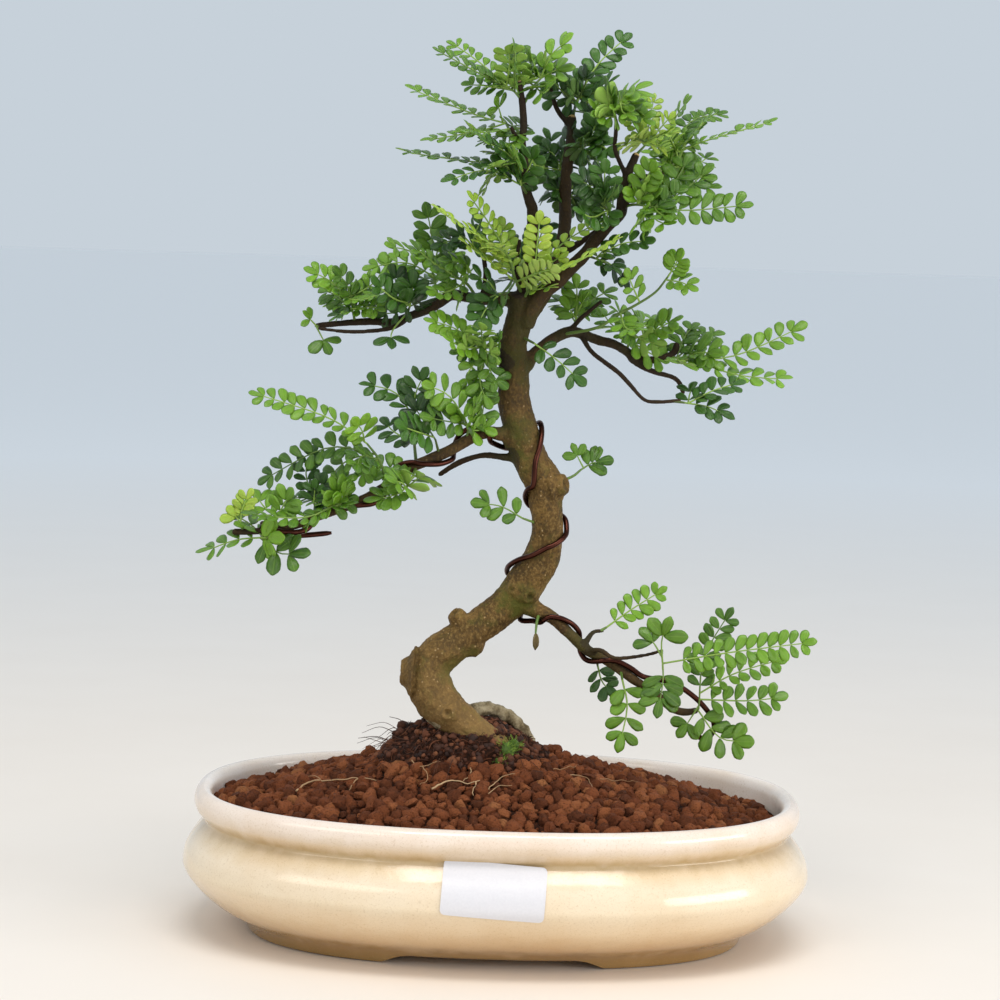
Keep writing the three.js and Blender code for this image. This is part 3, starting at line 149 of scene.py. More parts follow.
def node(tree, kind, links=(), stops=(), **settings):
    """Adds a node with its links, its colour stops and its settings, and gives its outputs."""
    made = tree.nodes.new(kind if "Node" in kind else "ShaderNode" + kind)
    for name, value in settings.items():
        setattr(made, name, value)
    ramp = made.color_ramp.elements if stops else ()
    while len(ramp) < len(stops):
        ramp.new(1)
    for stop, (place, colour) in zip(ramp, stops):
        stop.position, stop.color = place, linear(colour)
    feed(made, links)
    return made.outputs


def new_finish(name):
    """A new material, its node tree, its shader and the piece's own coordinates."""
    material = bpy.data.materials.new(name)
    material.use_nodes = True
    tree = material.node_tree
    return material, tree, tree.nodes["Principled BSDF"], node(tree, "TexCoord")["Object"]


def layer(under, over, mask, low=0, high=1, most=1, **blend):
    """Lays a colour over another: none of it where the mask is low, at its most where it is high."""
    tree = mask.id_data
    share = node(tree, "MapRange", {"Value": mask, "From Min": low, "From Max": high, "To Max": most})[0]
    return node(tree, "Mix", {0: share, 6: under, 7: over}, data_type="RGBA", **blend)[2]


def mesh_object(name, points, faces, material=None):
    """A smooth-shaded mesh in the scene, from points in millimetres."""
    mesh = bpy.data.meshes.new(name)
    mesh.from_pydata([[c * MM for c in point] for point in points], [], faces)
    mesh.validate()
    mesh.shade_smooth()
    if material:
        mesh.materials.append(material)
    return in_scene(name, mesh)


def mark(piece, title, values, kind="FLOAT", domain="POINT"):
    """Gives the points or faces of a piece a named value each."""
    piece.data.attributes.new(title, kind, domain).data.foreach_set("value", values)


def evaluated_mesh(piece):
    """Turns a piece with its modifiers into a plain mesh without them."""
    bpy.context.view_layer.update()
    made = bpy.data.meshes.new_from_object(piece.evaluated_get(bpy.context.evaluated_depsgraph_get()))
    piece.modifiers.clear()
    piece.data = made
    return piece


def placed(piece, slot, *nodes):
    """A finished piece: it rides on the object and stands for its CAD nodes."""
    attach(piece, "root")
    if nodes:
        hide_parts(*nodes)


def turns(count):
    """The angles of so many even steps round a circle."""
    return [2 * math.pi * step / count for step in range(count)]


def curve_point(points, at):
    """The point of a smooth line at a place that is counted in its own points."""
    part = min(int(at), len(points) - 2)
    t = at - part
    a, b = points[part], points[part + 1]
    before = points[part - 1] if part else a * 2 - b
    after = points[part + 2] if part + 2 < len(points) else b * 2 - a
    lead, trail = (b - before) / 2, (after - a) / 2
    return a + lead * t + ((b - a) * 3 - lead * 2 - trail) * t ** 2 + ((a - b) * 2 + lead + trail) * t ** 3


def smooth_line(points, steps):
    """The smooth line through some points, in so many steps from each one to the next."""
    return [curve_point(points, step / steps) for step in range(steps * (len(points) - 1) + 1)]


def skin_faces(rings, around, start=0):
    """Faces of a skin over closed rings of the same count, with a pole at each end."""
    last = (rings - 1) * around
    low, high = last + around, last + around + 1
    pairs = [(side, (side + 1) % around) for side in range(around)]
    faces = [[row + a, row + b, row + b + around, row + a + around]
             for row in range(0, last, around) for a, b in pairs]
    faces += [face for a, b in pairs for face in ([low, b, a], [high, last + a, last + b])]
    return [[corner + start for corner in face] for face in faces]


def skin_points(rings):
    """Points of the same skin: its rings, then the two poles."""
    poles = [sum(ring, Vector()) / len(ring) for ring in (rings[0], rings[-1])]
    return [point for ring in rings for point in ring] + poles


def skin(name, rings, material=None):
    """A closed piece over rings of points."""
    return mesh_object(name, skin_points(rings), skin_faces(len(rings), len(rings[0])), material)


def oval_point(half_length, angle, z):
    """A point of the pot's plan, which is between an oval and a rounded rectangle."""
    c, s = math.cos(angle), math.sin(angle)
    power = 2 / SQUARENESS
    x = half_length * math.copysign(abs(c) ** power, c)
    return Vector((x, (half_length - OVAL) * math.copysign(abs(s) ** power, s), z))


def oval(half_length, z, around=POT_AROUND):
    return [oval_point(half_length, angle, z) for angle in turns(around)]


# Cream glaze on stoneware: glassy, with an orange-peel waviness, fine iron specks, a soft craze,
# a tan tint where it ran thick in the neck, and a darker tan towards the foot. It gives long soft highlights
# over the belly.
glaze, tree, shader, place = new_finish("cream_glaze_on_stoneware")
runs = node(tree, "Mapping", {"Vector": place, "Scale": (90, 90, 22)})[0]
drip = node(tree, "TexNoise", {"Vector": runs, "Scale": 1, "Detail": 3})[0]
height = node(tree, "SeparateXYZ", {"Vector": place})["Z"]
run_down = node(tree, "Math", {0: drip, 1: 0.008, 2: height}, operation="MULTIPLY_ADD")[0]
outer_level = node(tree, "MapRange", {"Value": run_down, "From Min": 0.004, "From Max": 0.084})[0]
inner_wall = node(tree, "Attribute", attribute_name="inner_wall")["Fac"]
level_of = node(tree, "Math", {0: outer_level, 1: inner_wall}, operation="MAXIMUM")[0]
cloud = node(tree, "TexNoise", {"Vector": place, "Scale": 28, "Detail": 4})[0]
speck = node(tree, "TexNoise", {"Vector": place, "Scale": 1100, "Detail": 2})[0]
craze = node(tree, "TexVoronoi", {"Vector": place, "Scale": 420}, feature="DISTANCE_TO_EDGE")[0]
wavy = node(tree, "TexNoise", {"Vector": place, "Scale": 60, "Detail": 3})[0]
cream = node(tree, "ValToRGB", {"Fac": level_of}, [
    (0.0, "#9c7b48"), (0.09, "#b08d5a"), (0.15, "#d6b588"), (0.3, "#e4cdaa"), (0.45, "#ead8bb"),
    (0.58, "#ead9bf"), (0.66, "#dec8a5"), (0.715, "#c3a87c"), (0.77, "#e0cbaf"), (0.84, "#ecdccc"),
    (0.93, "#eedfd3"), (1.0, "#f7ebe1"),
])[0]
cream = layer(cream, "#e6d2b2", cloud, 0.4, 0.75, 0.35, blend_type="MULTIPLY")
cream = layer(cream, "#b8986a", speck, 0.58, 0.72, 0.28)
cream = layer(cream, "#a8885a", craze, 0.03, 0.0, 0.16)
gloss = {"Value": wavy, "From Min": 0.35, "From Max": 0.7, "To Min": 0.1, "To Max": 0.24}
peel = node(tree, "Bump", {"Strength": 0.35, "Distance": 0.0012, "Height": wavy})[0]
pits = node(tree, "Bump", {"Strength": 0.12, "Distance": 0.0003, "Height": speck, "Normal": peel})[0]
feed(shader, {
    "Base Color": cream, "Roughness": node(tree, "MapRange", gloss)[0], "Normal": pits, "IOR": 1.52,
    "Coat Weight": 0.3, "Coat Roughness": 0.06,
})

pot_rows = smooth_line([Vector((half, z, 0)) for half, z in POT_PROFILE], POT_STEPS)
pot_rings = []
for share in UNDER_SHARES:
    pot_rings.append([point * share for point in oval(FOOT_INSIDE, 0)])
    for point in pot_rings[-1]:
        point.z = POT_FLOOR_BOTTOM - (CORNER_DROP if share == UNDER_SHARES[-1] else 0)
pot_rings += [oval(half, max(z, 0)) for half, z, _ in pot_rows]
for share in UNDER_SHARES[2::-1]:
    pot_rings.append([Vector((p.x * share, p.y * share, POT_FLOOR_TOP)) for p in oval(FLOOR_INSIDE, 0)])
pot = skin("oval_pot", pot_rings, glaze)
inside_from = (len(UNDER_SHARES) + LIP_TOP * POT_STEPS) * POT_AROUND
mark(pot, "inner_wall", [float(index >= inside_from) for index in range(len(pot.data.vertices))])


def cut(piece, name, rings):
    """Cuts a closed form out of a piece."""
    tool = skin(name, rings)
    fit = piece.modifiers.new(name, "BOOLEAN")
    fit.object, fit.operation, fit.solver = tool, "DIFFERENCE", "EXACT"
    evaluated_mesh(piece)
    bpy.data.objects.remove(tool)


arch_outline = [(-x, z) for x, z in ARCH] + ARCH[::-1]
cut(pot, "foot_arch", [[Vector((x, y, z)) for x, z in arch_outline] for y in ARCH_CUT])
for side in (-1, 1):
    cut(pot, "drain", [
        [Vector((side * DRAIN_X + DRAIN_RADIUS * math.cos(turn), DRAIN_RADIUS * math.sin(turn), z))
         for turn in turns(DRAIN_AROUND)] for z in DRAIN_CUT
    ])
pot.data.set_sharp_from_angle(angle=POT_CREASE)
placed(pot, "glaze", "pot")

# Label: a blank sticker of coated paper, 50 by 25 mm, pressed on the front of the belly a little
# askew. It bridges the neck, so it follows the belly only part of the way.
LABEL_SIZE = (50, 25)
LABEL_MIDDLE = (-0.5, 45.6)
LABEL_TILT = math.radians(-3.4)
LABEL_CORNER = 2.4
LABEL_OFF = 0.35
LABEL_THICK = 0.35
LABEL_BRIDGE = 50.6  # the height above which the label spans the neck
BRIDGE_LEAN = 0.62  # how far it draws in there for each millimetre up
OUTSIDE_ROWS = 21  # points of the pot's profile up to the lip
FOOT_EDGE = 0.4  # below this the profile turns in under the foot
LABEL_CREASE = math.radians(40)
LABEL_COLUMNS, LABEL_ROWS = 28, 14


def pot_half(z):
    """Half length of the pot's outside at a height."""
    outside = [row for row in pot_rows[:POT_STEPS * OUTSIDE_ROWS] if row.y >= FOOT_EDGE]
    return float(np.interp(z, [row.y for row in outside], [row.x for row in outside]))


# Coated label paper: smooth and bright, with a trace of fibre and a slight cockle.
paper, tree, shader, place = new_finish("coated_label_paper")
fibre = node(tree, "TexNoise", {"Vector": place, "Scale": 900, "Detail": 4})[0]
cockle = node(tree, "TexNoise", {"Vector": place, "Scale": 110, "Detail": 1})[0]
feed(shader, {
    "Base Color": layer("#d3d2d7", "#dfdee2", fibre),
    "Roughness": node(tree, "MapRange", {"Value": fibre, "To Min": 0.28, "To Max": 0.42})[0],
    "Normal": node(tree, "Bump", {"Strength": 0.25, "Distance": 0.0008, "Height": cockle})[0],
})

wide = LABEL_COLUMNS + 1
sheet_size = wide * (LABEL_ROWS + 1)
label_points = []
for above in (LABEL_OFF + LABEL_THICK, LABEL_OFF):
    for index in range(sheet_size):
        row, column = divmod(index, wide)
        u = (2 * column / LABEL_COLUMNS - 1) * LABEL_SIZE[0] / 2
        v = (2 * row / LABEL_ROWS - 1) * LABEL_SIZE[1] / 2
        over_u = abs(u) - (LABEL_SIZE[0] / 2 - LABEL_CORNER)
        over_v = abs(v) - (LABEL_SIZE[1] / 2 - LABEL_CORNER)
        if over_u > 0 and over_v > 0:
            reach = LABEL_CORNER / math.hypot(over_u, over_v)
            square = LABEL_CORNER / max(over_u, over_v)
            u -= math.copysign(over_u * (1 - reach / square), u)
            v -= math.copysign(over_v * (1 - reach / square), v)
        x = LABEL_MIDDLE[0] + u * math.cos(LABEL_TILT) - v * math.sin(LABEL_TILT)
        z = LABEL_MIDDLE[1] + u * math.sin(LABEL_TILT) + v * math.cos(LABEL_TILT)
        # The paper lies on the belly, and above it spans the neck in a straight line.
        half = pot_half(min(z, LABEL_BRIDGE)) + above - max(0, z - LABEL_BRIDGE) * BRIDGE_LEAN
        y = -(half - OVAL) * (1 - abs(x / half) ** SQUARENESS) ** (1 / SQUARENESS)
        label_points.append((x, y, z))
label_faces = []
for row in range(LABEL_ROWS):
    for a in range(row * wide, row * wide + LABEL_COLUMNS):
        quad = [a, a + 1, a + wide + 1, a + wide]
        label_faces += [quad, [corner + sheet_size for corner in reversed(quad)]]
rim = [*range(wide), *range(2 * wide - 1, sheet_size, wide)]
rim += [*range(sheet_size - 2, sheet_size - wide - 1, -1), *range(sheet_size - 2 * wide, 0, -wide)]
for here, after in zip(rim, rim[1:] + rim[:1]):
    label_faces.append([here, here + sheet_size, after + sheet_size, after])
label = mesh_object("blank_label", label_points, label_faces, paper)
label.data.set_sharp_from_angle(angle=LABEL_CREASE)
placed(label, "paper", "label")

# Drain screens: a square of moulded plastic mesh over each hole in the pot's floor, held down by
# the soil on it.
SCREEN_SIZE = 27
SCREEN_LOW = POT_FLOOR_TOP + 0.3
SCREEN_THICK = 1.2
SCREEN_CELLS = 9
SCREEN_BAR = 1

# Black polyethylene mesh: dull, scuffed by the grit on it.
plastic, tree, shader, place = new_finish("moulded_plastic_mesh")
scuff = node(tree, "TexNoise", {"Vector": place, "Scale": 700, "Detail": 3})[0]
feed(shader, {
    "Base Color": layer("#15171a", "#34383c", scuff),
    "Roughness": node(tree, "MapRange", {"Value": scuff, "To Min": 0.4, "To Max": 0.75})[0],
})

lines = []
pitch = (SCREEN_SIZE - SCREEN_BAR) / SCREEN_CELLS
for cell in range(SCREEN_CELLS + 1):
    lines += [cell * pitch - SCREEN_SIZE / 2, cell * pitch + SCREEN_BAR - SCREEN_SIZE / 2]
count = len(lines)
top = count * count
solid = {(i, j) for i in range(count - 1) for j in range(count - 1) if i % 2 == 0 or j % 2 == 0}
for name, side in (("drain_screen_left", -1), ("drain_screen_right", 1)):
    points, faces = [], []
    for z in (SCREEN_LOW, SCREEN_LOW + SCREEN_THICK):
        points += [(side * DRAIN_X + x, y, z) for y in lines for x in lines]
    for i, j in sorted(solid):
        a = j * count + i
        b, c, d = a + 1, a + count + 1, a + count
        faces += [[d, c, b, a], [a + top, b + top, c + top, d + top]]
        sides = (((i, j - 1), a, b), ((i + 1, j), b, c), ((i, j + 1), c, d), ((i - 1, j), d, a))
        faces += [[near, far, far + top, near + top] for other, near, far in sides if other not in solid]
    screen = mesh_object(name + "_mesh", points, faces, plastic)
    screen.data.shade_flat()
    placed(screen, "screen", name)

# Tree: the trunk, its branches, twigs and roots are one piece of living wood. Each limb is a path of
# [x, z, y, radius] as seen from the front, and knots, scars and cut stubs stand on the trunk.
SIGHT_SHIFT = -1.3
GROUND = 4.4  # the ground's height in the readings
# The trunk, the low right and the low left branch, the upper left and the middle right branch, the
# left, centre and right leaders, and then the twigs.
LIMBS = [
    [[8, 95, -14, 6.2], [-2, 101, -13, 7.3], [-10, 106.5, -11, 8.4], [-19, 112, -9, 9.6],
     [-26, 117.5, -8, 10.8], [-32, 124, -7, 11.3], [-35.2, 131, -6, 11.3], [-36, 137.5, -5, 10.7],
     [-33.8, 143.5, -4, 10.3], [-28.4, 149.3, -3, 10.3], [-18.4, 156, -1, 9.4], [-8, 165, 1, 9],
     [1.7, 172.5, 2, 9], [9, 180, 2, 9.8], [13.5, 188, 1, 10], [18, 195, 0, 9.8], [21, 203, -1, 8.7],
     [22.5, 211, -2, 8.2], [23, 219, -3, 8], [21.5, 229, -3, 8.5], [20, 238, -2, 9.3], [13.5, 248, -1, 9.3],
     [10, 258, 0, 9], [6.6, 268, 1, 8.6], [3.8, 279, 2, 8], [3, 289, 3, 7.8], [2.4, 299, 3, 7.5],
     [2.3, 309, 3, 7.3], [4.5, 319, 3, 7.4], [6.5, 333, 3, 7]],
    [[8, 177, 1, 5.5], [18, 172, -2, 4.4], [27, 168, -4, 3.3], [36, 160, -6, 2.8], [45, 152, -8, 2.7],
     [55, 147, -10, 2.6], [63, 142, -11, 2.5], [70, 137, -12, 2.4], [80, 131, -13, 2.3], [90, 123, -14, 2],
     [97, 121, -15, 1.8], [103, 122, -16, 1.5]],
    [[6, 262, 0, 4.4], [-2, 262, -2, 3.6], [-10, 262.5, -4, 3.1], [-17, 260, -6, 3], [-24, 255.5, -8, 3],
     [-30, 252, -10, 3], [-38, 248, -12, 2.9], [-48, 243.5, -14, 2.7], [-58, 235.5, -16, 2.6],
     [-68, 228.5, -18, 2.5], [-78, 223.5, -20, 2.4], [-88, 219.5, -21, 2.3], [-97, 216, -22, 2.1],
     [-106, 212, -23, 2], [-118, 209.5, -24, 1.8], [-128, 208, -24, 1.7], [-138, 207.5, -24, 1.6]],
    [[4, 331, 3, 4.5], [-8, 331, 6, 3.4], [-17, 330.8, 9, 3], [-24, 331.8, 12, 2.8], [-30.5, 332.4, 14, 2.9],
     [-35, 329, 15, 2.7], [-41, 325, 17, 2.5], [-50.6, 321, 19, 2.2], [-60, 317.5, 21, 2.1],
     [-70, 317.6, 23, 1.9], [-82, 316.6, 25, 1.7], [-97.4, 314.7, 27, 1.4]],
    [[4, 296, 3, 4.8], [9, 298, 5, 4], [12, 302, 7, 3.4], [18, 308, 10, 3], [25, 313, 12, 2.9],
     [32, 315.5, 14, 2.8], [39, 314, 16, 2.6], [46, 311.5, 18, 2.5], [53, 310, 19, 2.4], [60, 306.5, 20, 2.3],
     [65, 303, 21, 2.1], [75, 302.5, 23, 1.8], [84, 306, 24, 1.7], [86, 311, 24, 1.6]],
    [[6, 326, 3, 4], [10, 350, 0, 3.2], [10, 375, -6, 2.8], [8.7, 380, -8, 2.6], [6, 389, -9, 2.3],
     [4.7, 403, -11, 2.1], [3.5, 411, -12, 2], [4.2, 419, -13, 1.9], [2.9, 432, -14, 1.7],
     [1, 441, -15, 1.5]],
    [[9, 322, 4, 5], [20, 340, 9, 4], [25, 356, 12, 3.6], [26.7, 371, 14, 3.4], [26.2, 385, 16, 3.2],
     [26.8, 399, 18, 3], [28.2, 413, 19, 2.6], [28.8, 424, 20, 2.2]],
    [[8, 318, 0, 5], [14, 332, -3, 4], [24, 341, -5, 3.6], [29.5, 347, -6, 3.5], [37, 355, -7, 3.4],
     [42, 362, -8, 3.3], [48.6, 370, -8, 3.2], [55, 377, -8, 3], [55.6, 388, -8, 2.7], [58, 396.5, -8, 2.4],
     [61.6, 406, -8, 2]],
    [[4, 250, 0, 2.3], [-3, 250.5, 2, 1.6], [-10, 251, 4, 1.5], [-17, 249.5, 6, 1.4], [-25, 246, 8, 1.5],
     [-33, 240.5, 10, 1.2]],
    [[44, 155, -8, 1.6], [48, 161, -2, 1.2], [53, 162, 2, 0.9]],
    [[45, 151, -8, 1.4], [52, 152, -15, 1.2], [60, 148, -21, 1], [75, 150, -24, 0.9],
     [83.7, 152.6, -26, 0.9]],
    [[-14, 332, 8, 1.4], [-13, 343, 3, 1.2], [-14, 352, 0, 1.2], [-15, 362, -2, 1.1]],
    [[5, 336, 1, 1.6], [3, 345, -8, 1.2], [3, 354, -11, 1.1], [4, 361, -13, 1]],
    [[4, 411, -12, 1.2], [0, 414, -15, 1.1], [-2, 418, -17, 1]],
    [[27, 420, 20, 1.4], [20.7, 428, 19, 1.2], [17.2, 438, 18, 1]],
    [[55, 378, -8, 1.9], [59.5, 386, -14, 1.6], [63, 397, -17, 1.4]],
    [[56, 390, -8, 1.7], [65, 395, 0, 1.5], [73, 395, 6, 1.3], [78, 400, 9, 1.2]],
    [[57, 395, -8, 1.4], [51, 408, -15, 1.2], [51, 416, -18, 1.1], [51, 423, -20, 1]],
    [[29, 357, 12, 1.9], [39, 364, 3, 1.5], [50, 372, -8, 1.6]],
    [[62, 303, 20, 1.6], [68, 299, 22, 1.4], [76, 296, 25, 1.3], [84, 294, 27, 1.2], [88, 291, 28, 1.2],
     [90, 286, 28, 1.1]],
    [[37, 314, 15, 1.6], [42, 306, 9, 1.2], [50, 300, 5, 1.2], [57, 295, 2, 1.1], [63, 289, 0, 1.1],
     [70, 282, -2, 1], [77, 281, -3, 1], [88, 282, -4, 1]],
    [[31, 316, 14, 1.4], [37, 323, 9, 1.1], [46, 331, 6, 1]],
    [[2, 299, 3, 2.3], [-6, 299, 0, 1.5], [-10, 299, -2, 1.2]],
    [[-54, 318, 20, 1.5], [-62, 314, 14, 1.1], [-80, 312, 15, 1], [-96, 313, 17, 0.9]],
]
PRUNED = (5, 6, 7, 11, 14, 15, 17)  # the limbs that end in a square cut
# The pale root that arches over the root ball behind the trunk, and two that run down inside it.
ROOTS = [
    [[-27, 112, -6, 5], [-21, 114.5, 4, 4.2], [-12, 118.5, 9, 3.4], [-2, 119, 11, 3.1], [8, 114, 11, 3],
     [16, 106, 10, 2.9], [20, 96, 9, 2.6], [21, 84, 8, 2.2]],
    [[-6, 103, -12, 6], [6, 90, -14, 4.5], [10, 72, -13, 3.2], [8, 56, -10, 2.2]],
    [[-22, 114, -8, 7.5], [-30, 96, -4, 5.5], [-36, 76, 2, 3.8], [-34, 56, 6, 2.4]],
]
# Knots: station on the trunk, degrees round it from the front, reach, and radius at the base and rim.
KNOTS = [
    [3.9, 5, 1.6, 5, 3.6], [6.9, 270, 3.4, 9, 6], [10.1, 85, 1.8, 5, 3], [10.3, 285, 5, 5.4, 4.2],
    [13.4, 25, 1.8, 5.5, 3.6], [13.2, 335, 1.4, 3.4, 2.4], [19.7, 66, 2.6, 6.2, 5], [22.3, 275, 1.6, 5, 3.4],
]
WOOD_GRAIN = 0.8  # mesh size of the bark
TRUNK_AROUND, LIMB_AROUND, KNOT_AROUND = 24, 14, 18
LIMB_SWELL = 0.12  # how far the bark stands out past the radii as read
KNOT_LUMP = 2.6  # the size of the lumps on a knot
ALGA_SPOTS = [(-20, 139, -4, 9), (22, 205, 0, 5)]  # green places besides the forks: x, z, y, how wide
MOST_PIECES = 6e5  # scattered points per square metre before the near ones are dropped


def seen(x, z, y=0):
    """The place that is seen at x, z on the tree's middle plane, but lies y behind that plane."""
    return EYE + (Vector((x + SIGHT_SHIFT, 0, z - GROUND)) - EYE) * ((y - EYE.y) / -EYE.y)


def limb_of(path):
    """A limb's points and radii as read, and its smooth line with the girth at each place of it."""
    points, radii = [seen(x, z, y) for x, z, y, _ in path], [step[3] for step in path]
    line = smooth_line(points, 4)
    girths = [float(np.interp(step / 4, range(len(points)), radii)) for step in range(len(line))]
    return {"points": points, "radii": radii, "line": line, "girths": girths}


def limb_point(limb, station, angle, out=0.0, share=1.0):
    """A point on a limb: at a station, at an angle round it from the front, and so far out."""
    points = limb["points"]
    station = min(max(station, 0), len(points) - 1)
    ahead, behind = min(station + 0.01, len(points) - 1), max(station - 0.01, 0)
    along = (curve_point(points, ahead) - curve_point(points, behind)).normalized()
    front = (Vector((0, -1, 0)) + along * along.y).normalized()
    reach = share * float(np.interp(station, range(len(points)), limb["radii"])) + out
    way = front * math.cos(angle) + along.cross(front) * math.sin(angle)
    return curve_point(points, station) + way * reach


limbs = [limb_of(path) for path in LIMBS]
trunk, right_low, left_low = limbs[:3]
roots = [limb_of(path) for path in ROOTS]
wood_points, wood_faces = [], []


def add_wood(rings):
    """Adds a closed skin over rings to the rough wood."""
    wood_faces.extend(skin_faces(len(rings), len(rings[0]), len(wood_points)))
    wood_points.extend(skin_points(rings))


for limb in limbs + roots:
    rings = []
    for step in range(len(limb["line"])):
        ring = []
        for angle in turns(TRUNK_AROUND if limb is trunk else LIMB_AROUND):
            point = limb_point(limb, step / 4, angle)
            # The stem isn't quite round: it swells and hollows a little along its length.
            swell = noise.noise(point / 9) * 0.09 + noise.noise(point / 22) * 0.08
            if limb is roots[0]:
                swell += noise.noise(point / 4.5) * 0.5 + 0.1
            ring.append(limb_point(limb, step / 4, angle, LIMB_SWELL, 1 + swell))
        rings.append(ring)
    end = limb["line"][-1]
    rings.append([end + (point - end) * 0.6 + (rings[-1][0] - rings[-2][0]) * 0.5 for point in rings[-1]])
    add_wood(rings)

# A knot rises from the bark, rolls over a rim of healed bark and sinks to its scar.
for station, degrees, reach, base, rim in KNOTS:
    angle = math.radians(degrees)
    face = limb_point(trunk, station, angle, reach)
    way = (face - limb_point(trunk, station, angle, 0, 0.3)).normalized()
    across = way.orthogonal().normalized()
    rings = []
    for depth, wide in (
        (-3, base * 1.5), (-1.2, base * 1.25), (0.2, base), (reach - 0.4, rim * 1.08), (reach + 0.5, rim * 0.9),
        (reach + 0.4, rim * 0.66), (reach - 0.9, rim * 0.42), (reach - 1.6, rim * 0.2),
    ):
        centre = face + way * (depth - reach)
        ring = []
        for turn in turns(KNOT_AROUND):
            spoke = Matrix.Rotation(turn, 3, way) @ across
            ring.append(centre + spoke * wide * (1 + 0.14 * noise.noise((centre + spoke * wide) / KNOT_LUMP)))
        rings.append(ring)
    add_wood(rings)

tree_wood = mesh_object("living_wood", wood_points, wood_faces)
even = tree_wood.modifiers.new("even", "REMESH")
even.mode, even.voxel_size = "VOXEL", WOOD_GRAIN * MM
soften = tree_wood.modifiers.new("soften", "SMOOTH")
soften.factor, soften.iterations = 0.5, 2
evaluated_mesh(tree_wood)

# Each point of the bark knows the girth of its limb, and how near it is to a scar, a fork or a root.
limb_facts = []
for limb in limbs + roots:
    limb_facts += [(spot, girth, limb is roots[0]) for spot, girth in zip(limb["line"], limb["girths"])]
by_limb = kdtree.KDTree(len(limb_facts))
for index, fact in enumerate(limb_facts):
    by_limb.insert(fact[0], index)
by_limb.balance()
# Limbs that were pruned square: the cut face shows pale wood.
ends = [limbs[index]["points"][-2:] for index in PRUNED]
cuts = [(end, (end - before).normalized()) for before, end in ends]
marks = [(limb_point(trunk, knot[0], math.radians(knot[1])), knot[3]) for knot in KNOTS]
forks = [(limb["points"][0], 8) for limb in limbs[1:]]
forks += [(seen(*spot), wide) for *spot, wide in ALGA_SPOTS]


def nearness(at, places, spread=1.0):
    """From 1 at one of some places to 0 at its edge."""
    return max(max(0, 1 - (at - spot).length / (spread * wide)) for spot, wide in places)


facts = {"girth": [], "scar": [], "alga": [], "bare_root": [], "cut_wood": []}
moved = []
for vertex in tree_wood.data.vertices:
    at = vertex.co / MM
    _, girth, is_root = limb_facts[by_limb.find(at)[1]]
    scar = nearness(at, marks)
    on_cut = max(float((at - spot).length < 4 and (at - spot).dot(way) > 0.25) for spot, way in cuts)
    for title, value in zip(facts, (girth, scar, nearness(at, forks, 1.9), float(is_root), on_cut)):
        facts[title].append(value)
    # Bark relief: long low swells, fine corky ridges, and rougher round a scar.
    relief = 0.34 * noise.noise(at / 5) + 0.24 * noise.noise(at / 2.1) + 0.16 * noise.noise(at / 1.1)
    ridge = abs(noise.noise(Vector((at.x, at.y, at.z * 0.45)) / 2.4))
    depth = min(1, girth / 7) * (relief - 0.4 * ridge) + 0.9 * scar * noise.noise(at / 1.6)
    if is_root:
        depth += 0.7 * noise.noise(at / 2.3) - 0.5 * abs(noise.noise(at / 1.2))
    moved.append(vertex.co + vertex.normal * depth * MM)
tree_wood.data.vertices.foreach_set("co", [c for point in moved for c in point])
for title, values in facts.items():
    mark(tree_wood, title, values)
tree_wood.data.update()
tree_wood.data.shade_smooth()

# Young smooth bark of a pepper tree: olive to grey-brown, freckled with small corky dots, green with
# algae at the forks, and nearly black on the twigs. Painted light makes the trunk's foot paler, and painted
# shade from the leaves makes the upper trunk and limbs nearly black. It is dull, with a faint sheen.
bark, tree, shader, place = new_finish("olive_brown_bark")
carried = [node(tree, "Attribute", attribute_name=title)["Fac"] for title in facts]
girth, scar, alga, bare_root, cut_wood = carried
height = node(tree, "SeparateXYZ", {"Vector": place})["Z"]
patch = node(tree, "TexNoise", {"Vector": place, "Scale": 70, "Detail": 5, "Roughness": 0.62})[0]
stretched = node(tree, "Mapping", {"Vector": place, "Scale": (1, 1, 0.8)})[0]
fleck = node(tree, "TexNoise", {"Vector": stretched, "Scale": 720, "Detail": 4, "Roughness": 0.6})[0]
dots = node(tree, "TexVoronoi", {"Vector": stretched, "Scale": 400})
dot_face = node(tree, "MapRange", {
    "Value": dots["Distance"], "From Min": 0.2, "From Max": 0.12, "To Max": 0.75,
})[0]
some_dots = node(tree, "MapRange", {"Value": dots["Color"], "From Min": 0.5, "From Max": 0.62})[0]
dot_share = node(tree, "Math", {0: dot_face, 1: some_dots}, operation="MULTIPLY")[0]
damp = node(tree, "TexNoise", {"Vector": place, "Scale": 120, "Detail": 4, "Roughness": 0.6})[0]
growth = node(tree, "Math", {0: alga, 1: 0.6, 2: damp}, operation="MULTIPLY_ADD")[0]
root_patch = node(tree, "TexNoise", {"Vector": place, "Scale": 190, "Detail": 5, "Roughness": 0.65})[0]
root_tones = [(0.35, "#5d5038"), (0.47, "#8e8062"), (0.6, "#b0a284")]
root_skin = node(tree, "ValToRGB", {"Fac": root_patch}, root_tones)[0]
tone = node(tree, "ValToRGB", {"Fac": patch}, [
    (0.28, "#36280f"), (0.42, "#4f3a18"), (0.54, "#644b23"), (0.7, "#7f6233"),
])[0]
for over, mask, low, high, most in (
    ("#a18653", fleck, 0.5, 0.7, 0.45), ("#35290f", fleck, 0.47, 0.35, 0.6), ("#b1956a", dot_share, 0, 1, 1),
    ("#4f5219", growth, 0.54, 0.84, 0.85), ("#3b2c14", scar, 0.5, 0.95, 0.75),
    # painted light: paler at the trunk's foot; painted shade from the leaves: nearly black higher up the trunk
    # and on the limbs
    ("#98794a", height, 0.16, 0.1, 0.45), ("#2b200e", height, 0.22, 0.33, 0.8),
    ("#241811", girth, 4.4, 1.7, 0.8), (root_skin, bare_root, 0, 1, 0.9),
    (layer("#b98e55", "#e0bf8a", fleck), cut_wood, 0, 1, 1),
):
    tone = layer(tone, over, mask, low, high, most)
